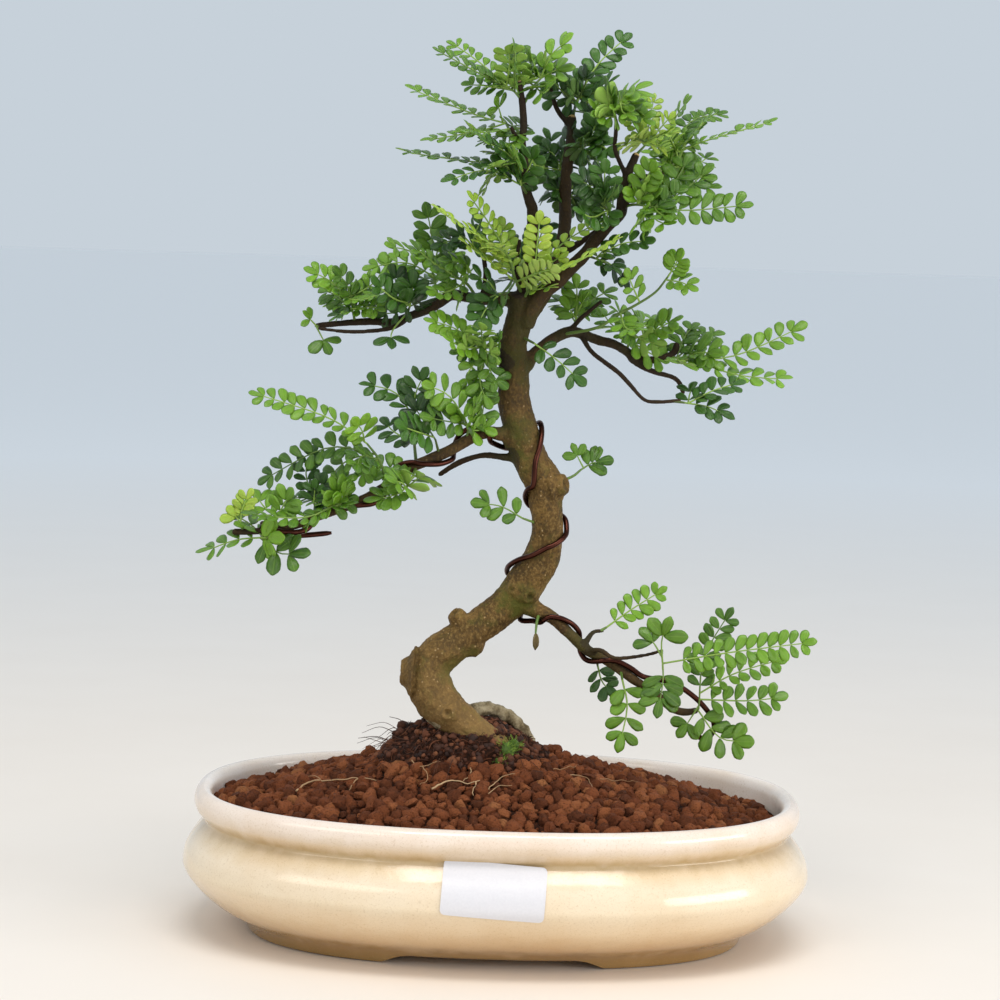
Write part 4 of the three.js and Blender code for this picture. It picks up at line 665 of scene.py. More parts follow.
dullness = {"Value": fleck, "From Min": 0.3, "From Max": 0.7, "To Min": 0.55, "To Max": 0.9}
coarse = node(tree, "Bump", {"Strength": 0.8, "Distance": 0.0016, "Height": patch})[0]
corky = node(tree, "Bump", {"Strength": 1, "Distance": 0.0007, "Height": fleck, "Normal": coarse})[0]
feed(shader, {
    "Base Color": tone, "Roughness": node(tree, "MapRange", dullness)[0], "Specular IOR Level": 0.25,
    "Normal": corky,
})
tree_wood.data.materials.clear()
tree_wood.data.materials.append(bark)
placed(tree_wood, "bark", "trunk")

# Root ball: the old root ball stands out of the granules round the trunk's foot. It is peat, held
# together by fine roots, and it crumbles at its edge.
ROOT_BALL_MIDDLE = (-17, 4)
ROOT_BALL = [
    [18, 40, 32], [46, 47, 38], [75, 48, 38], [87, 44, 36], [96, 37, 31], [103, 28, 24], [108, 17, 15],
]
BALL_AROUND = 96
BALL_TOP = ((0.7, 0.8), (0.4, 1.2), (0.15, 1.3))  # rings that close it: share of the last one, and rise
BALL_OPEN = 70  # the height above which crumbs and fibres lie on it
FIBRES = [(12, 0.2, 0.16), (9, 0.16, 0.12), (15, 0.24, 0.12), (8, 0.14, 0.22), (11, 0.3, 0.1), (7, 0.2, 0.3)]
CRUMBS = (3.2, 2.6, 4.4, 2.2, 3.6, 5.2, 2.8, 4)


def new_tree(name, **sizes):
    """A node tree with a mesh in, a mesh out, and a named input for each size."""
    tree = bpy.data.node_groups.new(name, "GeometryNodeTree")
    for size, kind in {"Mesh": "Geometry", **sizes}.items():
        tree.interface.new_socket(size.replace("_", " "), in_out="INPUT", socket_type="NodeSocket" + kind)
    tree.interface.new_socket("Mesh", in_out="OUTPUT", socket_type="NodeSocketGeometry")
    return tree, node(tree, "NodeGroupInput")


def grown(piece, tree, **sizes):
    """Runs a node tree on a piece with these sizes, and keeps the plain mesh."""
    modifier = piece.modifiers.new(tree.name, "NODES")
    modifier.node_group = tree
    for socket in tree.interface.items_tree:
        key = socket.name.replace(" ", "_")
        if socket.in_out == "INPUT" and key in sizes:
            modifier[socket.identifier] = sizes[key]
    return evaluated_mesh(piece)


def loose_pieces(name, meshes):
    """Puts shapes that a tree scatters in a collection of their own, out of the scene."""
    box = bpy.data.collections.new(name)
    for number, mesh in enumerate(meshes):
        piece = mesh if isinstance(mesh, bpy.types.Object) else mesh_object(f"{name}_{number}", *mesh)
        bpy.context.scene.collection.objects.unlink(piece)
        box.objects.link(piece)
    return box


# Scattered pieces: points all over the chosen faces, no two nearer than the spacing, a shape on each,
# turned at random up to the tilt, with a tone of its own.
scatter, given = new_tree(
    "scattered_pieces", Pieces="Collection", Spacing="Float", Smallest="Float", Largest="Float",
    Tilt="Float", Lift="Float", Seed="Int", Ground_finish="Material", Piece_finish="Material",
)
chosen = node(scatter, "GeometryNodeInputNamedAttribute", {"Name": "open_ground"}, data_type="FLOAT")[0]
spots = node(scatter, "GeometryNodeDistributePointsOnFaces", {
    "Mesh": given["Mesh"], "Selection": chosen, "Distance Min": given["Spacing"], "Density Max": MOST_PIECES,
    "Seed": given["Seed"],
}, distribute_method="POISSON")
down_tilt = node(scatter, "Math", {0: given["Tilt"], 1: -1}, operation="MULTIPLY")[0]
spin = node(scatter, "FunctionNodeRandomValue", {
    0: node(scatter, "CombineXYZ", {"X": down_tilt, "Y": down_tilt, "Z": -math.pi})[0],
    1: node(scatter, "CombineXYZ", {"X": given["Tilt"], "Y": given["Tilt"], "Z": math.pi})[0],
    "Seed": given["Seed"],
}, data_type="FLOAT_VECTOR")[0]
spun = node(scatter, "FunctionNodeEulerToRotation", {"Euler": spin})[0]
facing = node(scatter, "FunctionNodeRotateRotation", {
    "Rotation": spots["Rotation"], "Rotate By": spun,
}, rotation_space="LOCAL")[0]
size = node(scatter, "FunctionNodeRandomValue", {
    2: given["Smallest"], 3: given["Largest"], "Seed": 11,
}, data_type="FLOAT")[1]
pick = node(scatter, "FunctionNodeRandomValue", {4: 0, 5: 1000, "Seed": 5}, data_type="INT")[2]
shapes = node(scatter, "GeometryNodeCollectionInfo", {
    "Collection": given["Pieces"], "Separate Children": True, "Reset Children": True,
})[0]
lifted = node(scatter, "GeometryNodeSetPosition", {
    "Geometry": spots["Points"], "Offset": node(scatter, "CombineXYZ", {"Z": given["Lift"]})[0],
})[0]
spread = node(scatter, "GeometryNodeInstanceOnPoints", {
    "Points": lifted, "Instance": shapes, "Pick Instance": True, "Instance Index": pick,
    "Rotation": facing, "Scale": size,
})[0]
toned = node(scatter, "GeometryNodeStoreNamedAttribute", {
    "Geometry": spread, "Name": "tone",
    "Value": node(scatter, "FunctionNodeRandomValue", {2: 0.0, 3: 1.0, "Seed": 23}, data_type="FLOAT")[1],
}, data_type="FLOAT", domain="INSTANCE")[0]
whole = node(scatter, "GeometryNodeRealizeInstances", {"Geometry": toned})[0]
dressed = [
    node(scatter, "GeometryNodeSetMaterial", {"Geometry": one, "Material": given[finish]})[0]
    for one, finish in ((given["Mesh"], "Ground finish"), (whole, "Piece finish"))
]
node(scatter, "NodeGroupOutput", {"Mesh": node(scatter, "GeometryNodeJoinGeometry", {"Geometry": dressed})[0]})


def open_ground(piece, is_open):
    """Marks the faces that the scattered pieces may lie on, by their middle in millimetres."""
    marked = [float(is_open(face.center / MM, face.normal)) for face in piece.data.polygons]
    mark(piece, "open_ground", marked, domain="FACE")


# Peat with dead roots in it: near black to red brown, dull and crumbly.
peat, tree, shader, place = new_finish("root_bound_peat")
crumb = node(tree, "TexNoise", {"Vector": place, "Scale": 420, "Detail": 6, "Roughness": 0.7})[0]
peat_tones = [(0.32, "#150a05"), (0.47, "#2b170c"), (0.58, "#452415"), (0.7, "#633520")]
feed(shader, {
    "Base Color": node(tree, "ValToRGB", {"Fac": crumb}, peat_tones)[0], "Roughness": 0.95,
    "Specular IOR Level": 0.2,
    "Normal": node(tree, "Bump", {"Strength": 1, "Distance": 0.0018, "Height": crumb})[0],
})

# Fine roots and crumbs of peat: dark red brown, the live roots straw, all dull.
root_hair, tree, shader, place = new_finish("fine_root_skin")
own = node(tree, "Attribute", attribute_name="tone")["Fac"]
grain = node(tree, "TexNoise", {"Vector": place, "Scale": 500, "Detail": 3})[0]
both_tones = node(tree, "Math", {0: grain, 1: 0.3, 2: own}, operation="MULTIPLY_ADD")[0]
tone_share = node(tree, "MapRange", {"Value": both_tones, "From Max": 2})[0]
feed(shader, {
    "Base Color": node(tree, "ValToRGB", {"Fac": tone_share}, [
        (0.08, "#241109"), (0.3, "#45220f"), (0.5, "#64361c"), (0.62, "#7a4b2b"), (0.8, "#a07d58"),
        (1.0, "#b89a74"),
    ])[0],
    "Roughness": 0.85, "Normal": node(tree, "Bump", {"Strength": 0.5, "Distance": 0.0003, "Height": grain})[0],
})


def fibre_mesh(length, thick, bend, seed):
    """A wavy closed thread that lies along x, 3-sided, pointed at both ends."""
    chance = random.Random(seed)
    spine = []
    for step in range(7):
        far = step / 6 - 0.5
        sway = bend * math.sin(5 * far + seed) * length
        spine.append(Vector((far * length, sway, thick * (1 + chance.random()))))
    around = [Vector((0, math.cos(angle), math.sin(angle))) * thick for angle in turns(3)]
    points = [spine[0], *(centre + side for centre in spine[1:-1] for side in around), spine[-1]]
    last = len(points) - 1
    pairs = [(0, 1), (1, 2), (2, 0)]
    faces = [[0, 1 + b, 1 + a] for a, b in pairs]
    faces += [[row + a, row + b, row + b + 3, row + a + 3] for row in (1, 4, 7, 10) for a, b in pairs]
    faces += [[last, last - 3 + a, last - 3 + b] for a, b in pairs]
    return points, faces


def pebble_mesh(seed, cuts, size):
    """A lumpy, angular granule, from a cube with so many cuts on each side."""
    chance = random.Random(seed)
    stretch = Vector((chance.uniform(0.85, 1.25), chance.uniform(0.75, 1.05), chance.uniform(0.62, 0.95)))
    shift = Vector((seed * 7.3, seed * 3.1, 0))
    steps = [2 * step / cuts - 1 for step in range(cuts + 1)]
    points, faces, found = [], [], {}
    for axis, end in ((axis, end) for axis in range(3) for end in (-1, 1)):
        grid = {}
        for i, u in enumerate(steps):
            for j, v in enumerate(steps):
                corner = [0, 0, 0]
                corner[axis], corner[(axis + 1) % 3], corner[(axis + 2) % 3] = end, u, v
                key = tuple(corner)
                if key not in found:
                    found[key] = len(points)
                    way = Vector(corner).normalized()
                    squared = way * (0.93 + 0.07 * Vector(corner).length)
                    lump = 1 + 0.4 * noise.noise(way * 1.2 + shift) + 0.26 * noise.noise(way * 2.9 + shift)
                    points.append(Vector([a * b for a, b in zip(squared, stretch)]) * lump * size / 2)
                grid[i, j] = found[key]
        for i in range(cuts):
            for j in range(cuts):
                quad = [grid[i, j], grid[i + 1, j], grid[i + 1, j + 1], grid[i, j + 1]]
                faces.append(quad if end > 0 else quad[::-1])
    return points, faces


fibres = loose_pieces("root_fibre", [fibre_mesh(*fibre, seed) for seed, fibre in enumerate(FIBRES)]
                      + [pebble_mesh(seed, 2, size) for seed, size in enumerate(CRUMBS)])
ball_rings = []
for z, half_length, half_depth in smooth_line([Vector(row) for row in ROOT_BALL], 8):
    ring = []
    for angle in turns(BALL_AROUND):
        swell = 1 + 0.05 * math.sin(3 * angle + z / 9) + 0.04 * math.sin(7 * angle - z / 5)
        at = Vector((half_length * math.cos(angle), half_depth * math.sin(angle), z)) * swell
        at = Vector((at.x + ROOT_BALL_MIDDLE[0], at.y + ROOT_BALL_MIDDLE[1], z))
        rough = 3.2 * noise.noise(at / 9) + 2.2 * noise.noise(at / 3.4) + 1.0 * noise.noise(at / 1.5)
        ring.append(at + Vector((math.cos(angle), math.sin(angle), 0.5)) * rough)
    ball_rings.append(ring)
top = ball_rings[-1]
middle = sum(top, Vector()) / BALL_AROUND
for share, rise in BALL_TOP:
    ball_rings.append([
        middle + (point - middle) * share + Vector((0, 0, rise + 0.8 * noise.noise(point * share / 2.5)))
        for point in top
    ])
root_ball = skin("old_root_ball", ball_rings, peat)
open_ground(root_ball, lambda at, normal: at.z > BALL_OPEN and normal.z > -0.2)
grown(
    root_ball, scatter, Pieces=fibres, Spacing=1.9 * MM, Smallest=0.5, Largest=1.1, Tilt=0.5, Lift=0.0,
    Seed=3, Ground_finish=peat, Piece_finish=root_hair,
)
placed(root_ball, "peat", "root_ball")

# Soil: baked clay granules of 4 to 8 mm, shaken in below the lip, heaped up to the tree and banked
# against the root ball, with finer ones between them. They lie loose.
SOIL_EDGE = 62.6
SOIL_MOUND = 27.5
SOIL_TOP_X = -8
SOIL_REACH = (142, 98)
SOIL_SEAT = 59  # the granules lie above this height
BANK_FROM, BANK_REACH = (46, 37), 0.22
POT_INSIDE = [[126, 11.4], [141, 20.6], [149.4, 37.6], [145.6, 55.6], [145.6, 61]]
SOIL_SHARES = (1, 0.95, 0.9, 0.84, 0.78, 0.7, 0.62, 0.54, 0.46, 0.38, 0.3, 0.22, 0.14, 0.06)
SOIL_AROUND = 96
SOIL_TOP = 145.3  # half its length at the top
KEEP_OFF_BALL = (41, 32)  # half sizes of the bare place in it, over the root ball
GRANULE_SIZE, GRIT_SIZE = 7.2, 3.6
GRANULE_CREASE = math.radians(44)


def from_ball(x, y, half_length, half_depth):
    """How far a place lies from the root ball's middle, as a share of these half sizes."""
    return math.hypot((x - ROOT_BALL_MIDDLE[0]) / half_length, (y - ROOT_BALL_MIDDLE[1]) / half_depth)


def soil_height(x, y):
    """Height of the soil: the heap, and a ragged bank of up to 6 mm against the root ball."""
    across = min(1, math.hypot((x - SOIL_TOP_X) / SOIL_REACH[0], y / SOIL_REACH[1]))
    off_bank = from_ball(x, y, *BANK_FROM) - 1
    bank = math.exp(-(off_bank / BANK_REACH) ** 2) * (3 + 5 * noise.noise(Vector((x, y, 3)) / 13))
    return SOIL_EDGE + SOIL_MOUND * (1 - across ** 1.9) + max(0, bank)


# Baked clay granules: rust to dark red brown, dusty, pitted, quite without gloss.
clay, tree, shader, place = new_finish("baked_clay_granules")
own = node(tree, "Attribute", attribute_name="tone")["Fac"]
pitted = node(tree, "TexNoise", {"Vector": place, "Scale": 900, "Detail": 5, "Roughness": 0.65})[0]
dust = node(tree, "TexNoise", {"Vector": place, "Scale": 260, "Detail": 3})[0]
rust = node(tree, "ValToRGB", {"Fac": own}, [
    (0.0, "#4c2814"), (0.35, "#6c391d"), (0.7, "#834a2a"), (0.95, "#915632"), (1.0, "#9c653d"),
])[0]
rust = layer(rust, "#84492d", dust, 0.45, 0.75, 0.45)
feed(shader, {
    "Base Color": layer(rust, "#260f06", pitted, 0.47, 0.32, 0.75), "Roughness": 0.93,
    "Specular IOR Level": 0.25,
    "Normal": node(tree, "Bump", {"Strength": 1.0, "Distance": 0.0016, "Height": pitted})[0],
})

pebbles = loose_pieces("granule", [pebble_mesh(seed, 3, GRANULE_SIZE) for seed in range(16)])
grit = loose_pieces("grit", [pebble_mesh(40 + seed, 2, GRIT_SIZE) for seed in range(8)])
for granule in [*pebbles.objects, *grit.objects]:
    granule.data.set_sharp_from_angle(angle=GRANULE_CREASE)


def bed_of(name, pieces, below, spacing, largest, lift, seed):
    """The filled inside of the pot, its top so far below the granules that are scattered on it."""
    rings = [oval(half, z, SOIL_AROUND) for half, z in POT_INSIDE]
    for share in SOIL_SHARES:
        ring = []
        for point in oval(SOIL_TOP, 0, SOIL_AROUND):
            x, y = point.x * share, point.y * share
            low = below - 1.4 * noise.noise(Vector((x, y, 0)) / 6)
            ring.append(Vector((x, y, soil_height(x, y) - low)))
        rings.append(ring)
    bed = skin(name, rings)
    open_ground(bed, lambda at, _: at.z > SOIL_SEAT and from_ball(at.x, at.y, *KEEP_OFF_BALL) > 1)
    return grown(
        bed, scatter, Pieces=pieces, Spacing=spacing * MM, Smallest=0.6, Largest=largest, Tilt=math.pi,
        Lift=lift * MM, Seed=seed, Ground_finish=peat, Piece_finish=clay,
    )


granules = bed_of("clay_granules", pebbles, below=2.2, spacing=4.9, largest=1.3, lift=1.0, seed=8)
placed(granules, "clay", "soil")
fines = bed_of("fine_clay_grit", grit, below=2.6, spacing=3.4, largest=1.25, lift=0.6, seed=21)
placed(fines, "clay")

# Training wire: one length of anodised aluminium wire, 2.8 mm thick, wound by hand from the low
# right branch round behind the trunk, up it and out along the low left branch.
WIRE_RADIUS = 1.4
WIRE_OFF_BARK = 0.35
TURN_STEP = 40
WIRE_END_HOOK = [
    [101, 112, -10], [104, 109, -10], [107, 107.2, -11], [110.5, 109, -12], [112.4, 113.5, -14],
    [110.7, 119, -15], [105, 126, -16], [97.5, 132, -17], [91, 135.4, -18], [84, 137.4, -18],
]
# Each turn is a station on its limb and an angle: 0 in front, 90 on the trunk's right, and on a
# branch 90 is below (right low) or above (left low).
WIRE_ON_RIGHT_LOW = [
    [7.3, -440], [6.4, -430], [5.5, -400], [5, -360], [4.5, -310], [4.1, -260], [3.6, -190], [3.2, -120],
    [2.6, -60], [1.9, 0], [1.5, 60], [1.1, 100],
]
WIRE_ON_TRUNK = [
    [12.2, 105], [13, 180], [13.6, 240], [14.2, 282], [15, 304], [15.7, 333], [16.4, 362], [16.9, 403],
    [17.4, 445], [17.9, 475], [18.4, 540], [18.8, 600], [19.2, 630], [19.7, 665], [20.1, 694], [20.9, 731],
    [21.6, 758], [22.2, 785], [22.7, 815], [22.8, 890], [22.4, 945], [22, 960],
]
WIRE_ON_LEFT_LOW = [
    [1.5, -80], [1.9, -40], [2.1, 10], [2.5, 60], [3.5, 110], [4.2, 180], [4.9, 260], [5.6, 300], [6.6, 360],
    [7.2, 420], [7.7, 480], [8.2, 540], [8.7, 620], [9.6, 690], [10.4, 735], [11.2, 810], [11.9, 900],
    [12.6, 980], [13.3, 1030], [13.9, 1070], [14.3, 1120], [14.5, 1180], [14.6, 1300],
]
WIRE_TAIL = [
    [-121, 204, -17], [-115, 205.5, -15], [-100, 207, -13], [-88, 208.5, -12],
]
WIRE_STEPS = 5  # rings from one point of the route to the next
WIRE_AROUND = 14
WIRE_CREASE = math.radians(60)
WIRE_ENDS = (0.55, 0.9)  # shares of the radius at the two last rings of each rounded end

# A round line: a path of edges made a tube, with the thickness that its points carry.
round_line, given = new_tree("round_line", Sides="Int", Finish="Material")


def tube_of(tree, given, sides, finish):
    """A tube along every edge of the mesh that comes in, dressed in its finish."""
    thick = node(tree, "GeometryNodeInputNamedAttribute", {"Name": "thickness"}, data_type="FLOAT")[0]
    line = node(tree, "GeometryNodeMeshToCurve", {"Mesh": given["Mesh"]})[0]
    circle = node(tree, "GeometryNodeCurvePrimitiveCircle", {"Resolution": given[sides], "Radius": 1.0})[0]
    tube = node(tree, "GeometryNodeCurveToMesh", {
        "Curve": line, "Profile Curve": circle, "Scale": thick, "Fill Caps": True,
    })[0]
    whole = node(tree, "GeometryNodeRealizeInstances", {"Geometry": tube})[0]
    return node(tree, "GeometryNodeSetMaterial", {"Geometry": whole, "Material": given[finish]})[0]


node(round_line, "NodeGroupOutput", {"Mesh": tube_of(round_line, given, "Sides", "Finish")})


def paths_object(name, paths):
    """Guide lines for a tree: each path is points in millimetres with a radius, and a tone."""
    points, edges, radii, tones = [], [], [], []
    for path, thick, shade in paths:
        edges += [(step, step + 1) for step in range(len(points), len(points) + len(path) - 1)]
        points += path
        radii += [radius * MM for radius in thick]
        tones += [shade] * len(path)
    mesh = bpy.data.meshes.new(name)
    mesh.from_pydata([point * MM for point in points], edges, [])
    piece = in_scene(name, mesh)
    mark(piece, "thickness", radii)
    mark(piece, "tone", tones)
    return piece


def windings(limb, route):
    """The wire's route round a limb, from one turn to the next in steps of up to TURN_STEP degrees."""
    places = []
    for (station, degrees), (next_station, next_degrees) in zip(route, route[1:]):
        count = math.ceil(abs(next_degrees - degrees) / TURN_STEP)
        places += [(station + (next_station - station) * (part / count),
                    degrees + (next_degrees - degrees) * (part / count)) for part in range(count)]
    return [limb_point(limb, station, math.radians(degrees), WIRE_RADIUS + WIRE_OFF_BARK)
            for station, degrees in places + [route[-1]]]


# Anodised aluminium wire: copper brown, a satin metal with long red-brown highlights, and fine
# drawing marks.
anodised, tree, shader, place = new_finish("anodised_aluminium_wire")
drawn = node(tree, "TexNoise", {"Vector": place, "Scale": 1300, "Detail": 2})[0]
dull = node(tree, "TexNoise", {"Vector": place, "Scale": 120, "Detail": 3})[0]
satin = {"Value": dull, "From Min": 0.3, "From Max": 0.7, "To Min": 0.24, "To Max": 0.42}
feed(shader, {
    "Base Color": layer("#371c16", "#56332a", dull), "Roughness": node(tree, "MapRange", satin)[0],
    "Metallic": 1.0, "Normal": node(tree, "Bump", {"Strength": 0.15, "Distance": 0.0002, "Height": drawn})[0],
})

route = [seen(*point) for point in WIRE_END_HOOK] + windings(right_low, WIRE_ON_RIGHT_LOW)
route += windings(trunk, WIRE_ON_TRUNK) + windings(left_low, WIRE_ON_LEFT_LOW)
route = smooth_line(route + [seen(*point) for point in WIRE_TAIL], WIRE_STEPS)
shares = [*WIRE_ENDS, *[1] * (len(route) - 4), *WIRE_ENDS[::-1]]
wire = paths_object("wound_wire", [(route, [WIRE_RADIUS * share for share in shares], 0.5)])
grown(wire, round_line, Sides=WIRE_AROUND, Finish=anodised)
wire.data.shade_smooth()
wire.data.set_sharp_from_angle(angle=WIRE_CREASE)
placed(wire, "wire", "training_wire")

# Loose roots: pale live roots that wandered out of the root ball and lie on the granules, and dead
# ones that hang from it. Each is a tone, a thickness and a list of places seen from above.
LOOSE_ROOTS = [
    (0.85, 0.8, [[-102, -35], [-98, -28], [-89, -29], [-78, -33], [-71, -32], [-62, -37]]),
    (0.8, 0.55, [[-71, -32], [-74, -40], [-74, -46]]),
    (0.75, 0.5, [[-89, -29], [-92, -22], [-97, -18]]),
    (1.0, 0.8, [[-33, -53], [-26, -46], [-21, -44], [-15, -47], [-9, -45]]),
    (0.9, 0.6, [[-15, -28], [-14, -37], [-17, -46]]),
    (0.95, 0.6, [[-11, -47], [-12, -53], [-12, -60]]),
    (0.9, 0.45, [[-5, -53], [-2, -48], [3, -41], [9, -38]]),
    (0.85, 0.4, [[-4, -57], [1, -50], [7, -49]]),
    (0.8, 0.5, [[-44, -28], [-38, -34], [-30, -33], [-24, -37]]),
    (0.75, 0.45, [[-38, -34], [-35, -42], [-39, -47]]),
    (0.7, 0.45, [[28, -26], [33, -20], [39, -14], [41, -8]]),
    (0.8, 0.45, [[36, -28], [41, -24], [46, -28], [48, -38]]),
    (0.7, 0.4, [[52, -26], [58, -22], [66, -19], [72, -14]]),
    (0.35, 0.4, [[-56, -14], [-64, -18], [-73, -17], [-83, -21]]),
    (0.3, 0.35, [[-60, -6], [-69, -9], [-80, -6]]),
    (0.3, 0.35, [[-58, -22], [-66, -28], [-78, -29]]),
]
FRINGE_ROOTS = 46
FRINGE_SIDES = (2.2, 5.9)  # radians round the ball between which they stand
FRINGE_FOOT = (38, 31, 94)  # where the long ones leave the ball: its half sizes there, and the height
loose_paths = []
for number, (shade, thick, places) in enumerate(LOOSE_ROOTS):
    knots = []
    for x, y in places:
        lift = 2.2 + noise.noise(Vector((x, y, number)) / 3)
        knots.append(Vector((x, y, soil_height(x, y) + lift)))
    line = smooth_line(knots, 5)
    wander = [point + Vector([1.1 * noise.noise((point + Vector((9 * axis, 0, 0))) / 4) for axis in range(3)])
              for point in line]
    tapered = [0.65 * thick * (1 - 0.6 * step / len(line)) for step in range(len(line))]
    loose_paths.append((wander, tapered, shade * 1.9))
# Long thin roots stand out of the ball's upper edge and droop.
fringe = random.Random(6)
for number in range(FRINGE_ROOTS):
    turn = fringe.uniform(*FRINGE_SIDES)
    foot = Vector((
        ROOT_BALL_MIDDLE[0] + FRINGE_FOOT[0] * math.cos(turn),
        ROOT_BALL_MIDDLE[1] + FRINGE_FOOT[1] * math.sin(turn), FRINGE_FOOT[2],
    ))
    foot.z += fringe.uniform(-9, 6)
    reach, droop = fringe.uniform(9, 22), fringe.uniform(2, 12)
    way = Vector((math.cos(turn), math.sin(turn), fringe.uniform(-0.3, 0.5)))
    side = Vector((-way.y, way.x, 0)) * fringe.uniform(-7, 7)
    knots = [foot - way * 4, foot + way * 2, foot + way * reach * 0.5 + side * 0.5,
             foot + way * reach + side - Vector((0, 0, droop))]
    for knot in knots:
        knot.z = max(knot.z, soil_height(knot.x, knot.y) + 1.4)
    line = smooth_line(knots, 4)
    thick = fringe.uniform(0.16, 0.42)
    tapered = [thick * (1 - 0.7 * step / len(line)) for step in range(len(line))]
    loose_paths.append((line, tapered, fringe.uniform(0, 0.75)))
loose_roots = paths_object("loose_roots", loose_paths)
grown(loose_roots, round_line, Sides=5, Finish=root_hair)
loose_roots.data.shade_smooth()
placed(loose_roots, "peat")

# Moss: three soft tufts in the crook between the trunk's foot and the root ball, of upright shoots a
# few millimetres tall, grown in place.
MOSS_TUFTS = [((5, 98, -20), 5), ((9, 101, -18), 3.2), ((2, 92, -25), 3)]
TUFT_AROUND, TUFT_ROWS = 16, 8
SHOOT_LEAVES = 9
SHOOT_FACES = ((0, 1, 2), (0, 3, 1), (1, 3, 2), (3, 0, 2))  # of one narrow leaf
GREEN_GLOW = (0.5, 1.0, 0.2)  # how far red, green and blue light run in a leaf

# Moss leaf: bright olive green, soft and dull, paler or darker in patches and from shoot to shoot.
moss_skin, tree, shader, place = new_finish("moss_leaf")
own = node(tree, "Attribute", attribute_name="tone")["Fac"]
tuft_patch = node(tree, "TexNoise", {"Vector": place, "Scale": 300, "Detail": 3})[0]
moss_age = node(tree, "Math", {0: tuft_patch, 1: 0.5, 2: own}, operation="MULTIPLY_ADD")[0]
moss_tones = [(0.1, "#384f12"), (0.6, "#577a1c"), (1.0, "#8db03a")]
feed(shader, {
    "Base Color": node(tree, "ValToRGB", {"Fac": moss_age}, moss_tones)[0], "Roughness": 0.8,
    "Subsurface Weight": 0.2, "Subsurface Radius": GREEN_GLOW, "Subsurface Scale": 0.001,
})


def shoot_mesh(seed):
    """One moss shoot: a thin stem ringed by narrow leaves that stand off it."""
    tall = random.Random(seed).uniform(2.2, 4)
    points, faces = [], []
    for leaf in range(SHOOT_LEAVES):
        turn = 2.4 * leaf
        out = Vector((math.cos(turn), math.sin(turn), 0))
        across = Vector((-out.y, out.x, 0)) * 0.17
        foot = Vector((0, 0, tall * leaf / 10))
        faces += [[len(points) + corner for corner in face] for face in SHOOT_FACES]
        points += [foot - across, foot + across, foot + out * 0.75 + Vector((0, 0, 1.1)), foot + out * 0.16]
    return points, faces


shoots = loose_pieces("moss_shoot", [shoot_mesh(seed) for seed in range(5)])
tuft_points, tuft_faces = [], []
for spot, radius in MOSS_TUFTS:
    rings = []
    for tilt in (math.pi * row / TUFT_ROWS for row in range(1, TUFT_ROWS)):
        rings.append([])
        for turn in turns(TUFT_AROUND):
            way = Vector((math.sin(tilt) * math.cos(turn), math.sin(tilt) * math.sin(turn), -math.cos(tilt)))
            lump = 0.85 + 0.35 * noise.noise(Vector((turn, tilt, radius)))
            rings[-1].append(seen(*spot) + way * radius * lump)
    tuft_faces += skin_faces(len(rings), TUFT_AROUND, len(tuft_points))
    tuft_points += skin_points(rings)
moss = mesh_object("moss_tufts", tuft_points, tuft_faces)
open_ground(moss, lambda _, normal: normal.z > -0.5 and normal.y < 0.6)
grown(
    moss, scatter, Pieces=shoots, Spacing=0.9 * MM, Smallest=0.6, Largest=1.1, Tilt=0.35, Lift=0.0,
    Seed=2, Ground_finish=moss_skin, Piece_finish=moss_skin,
)
placed(moss, "leaf_dark")

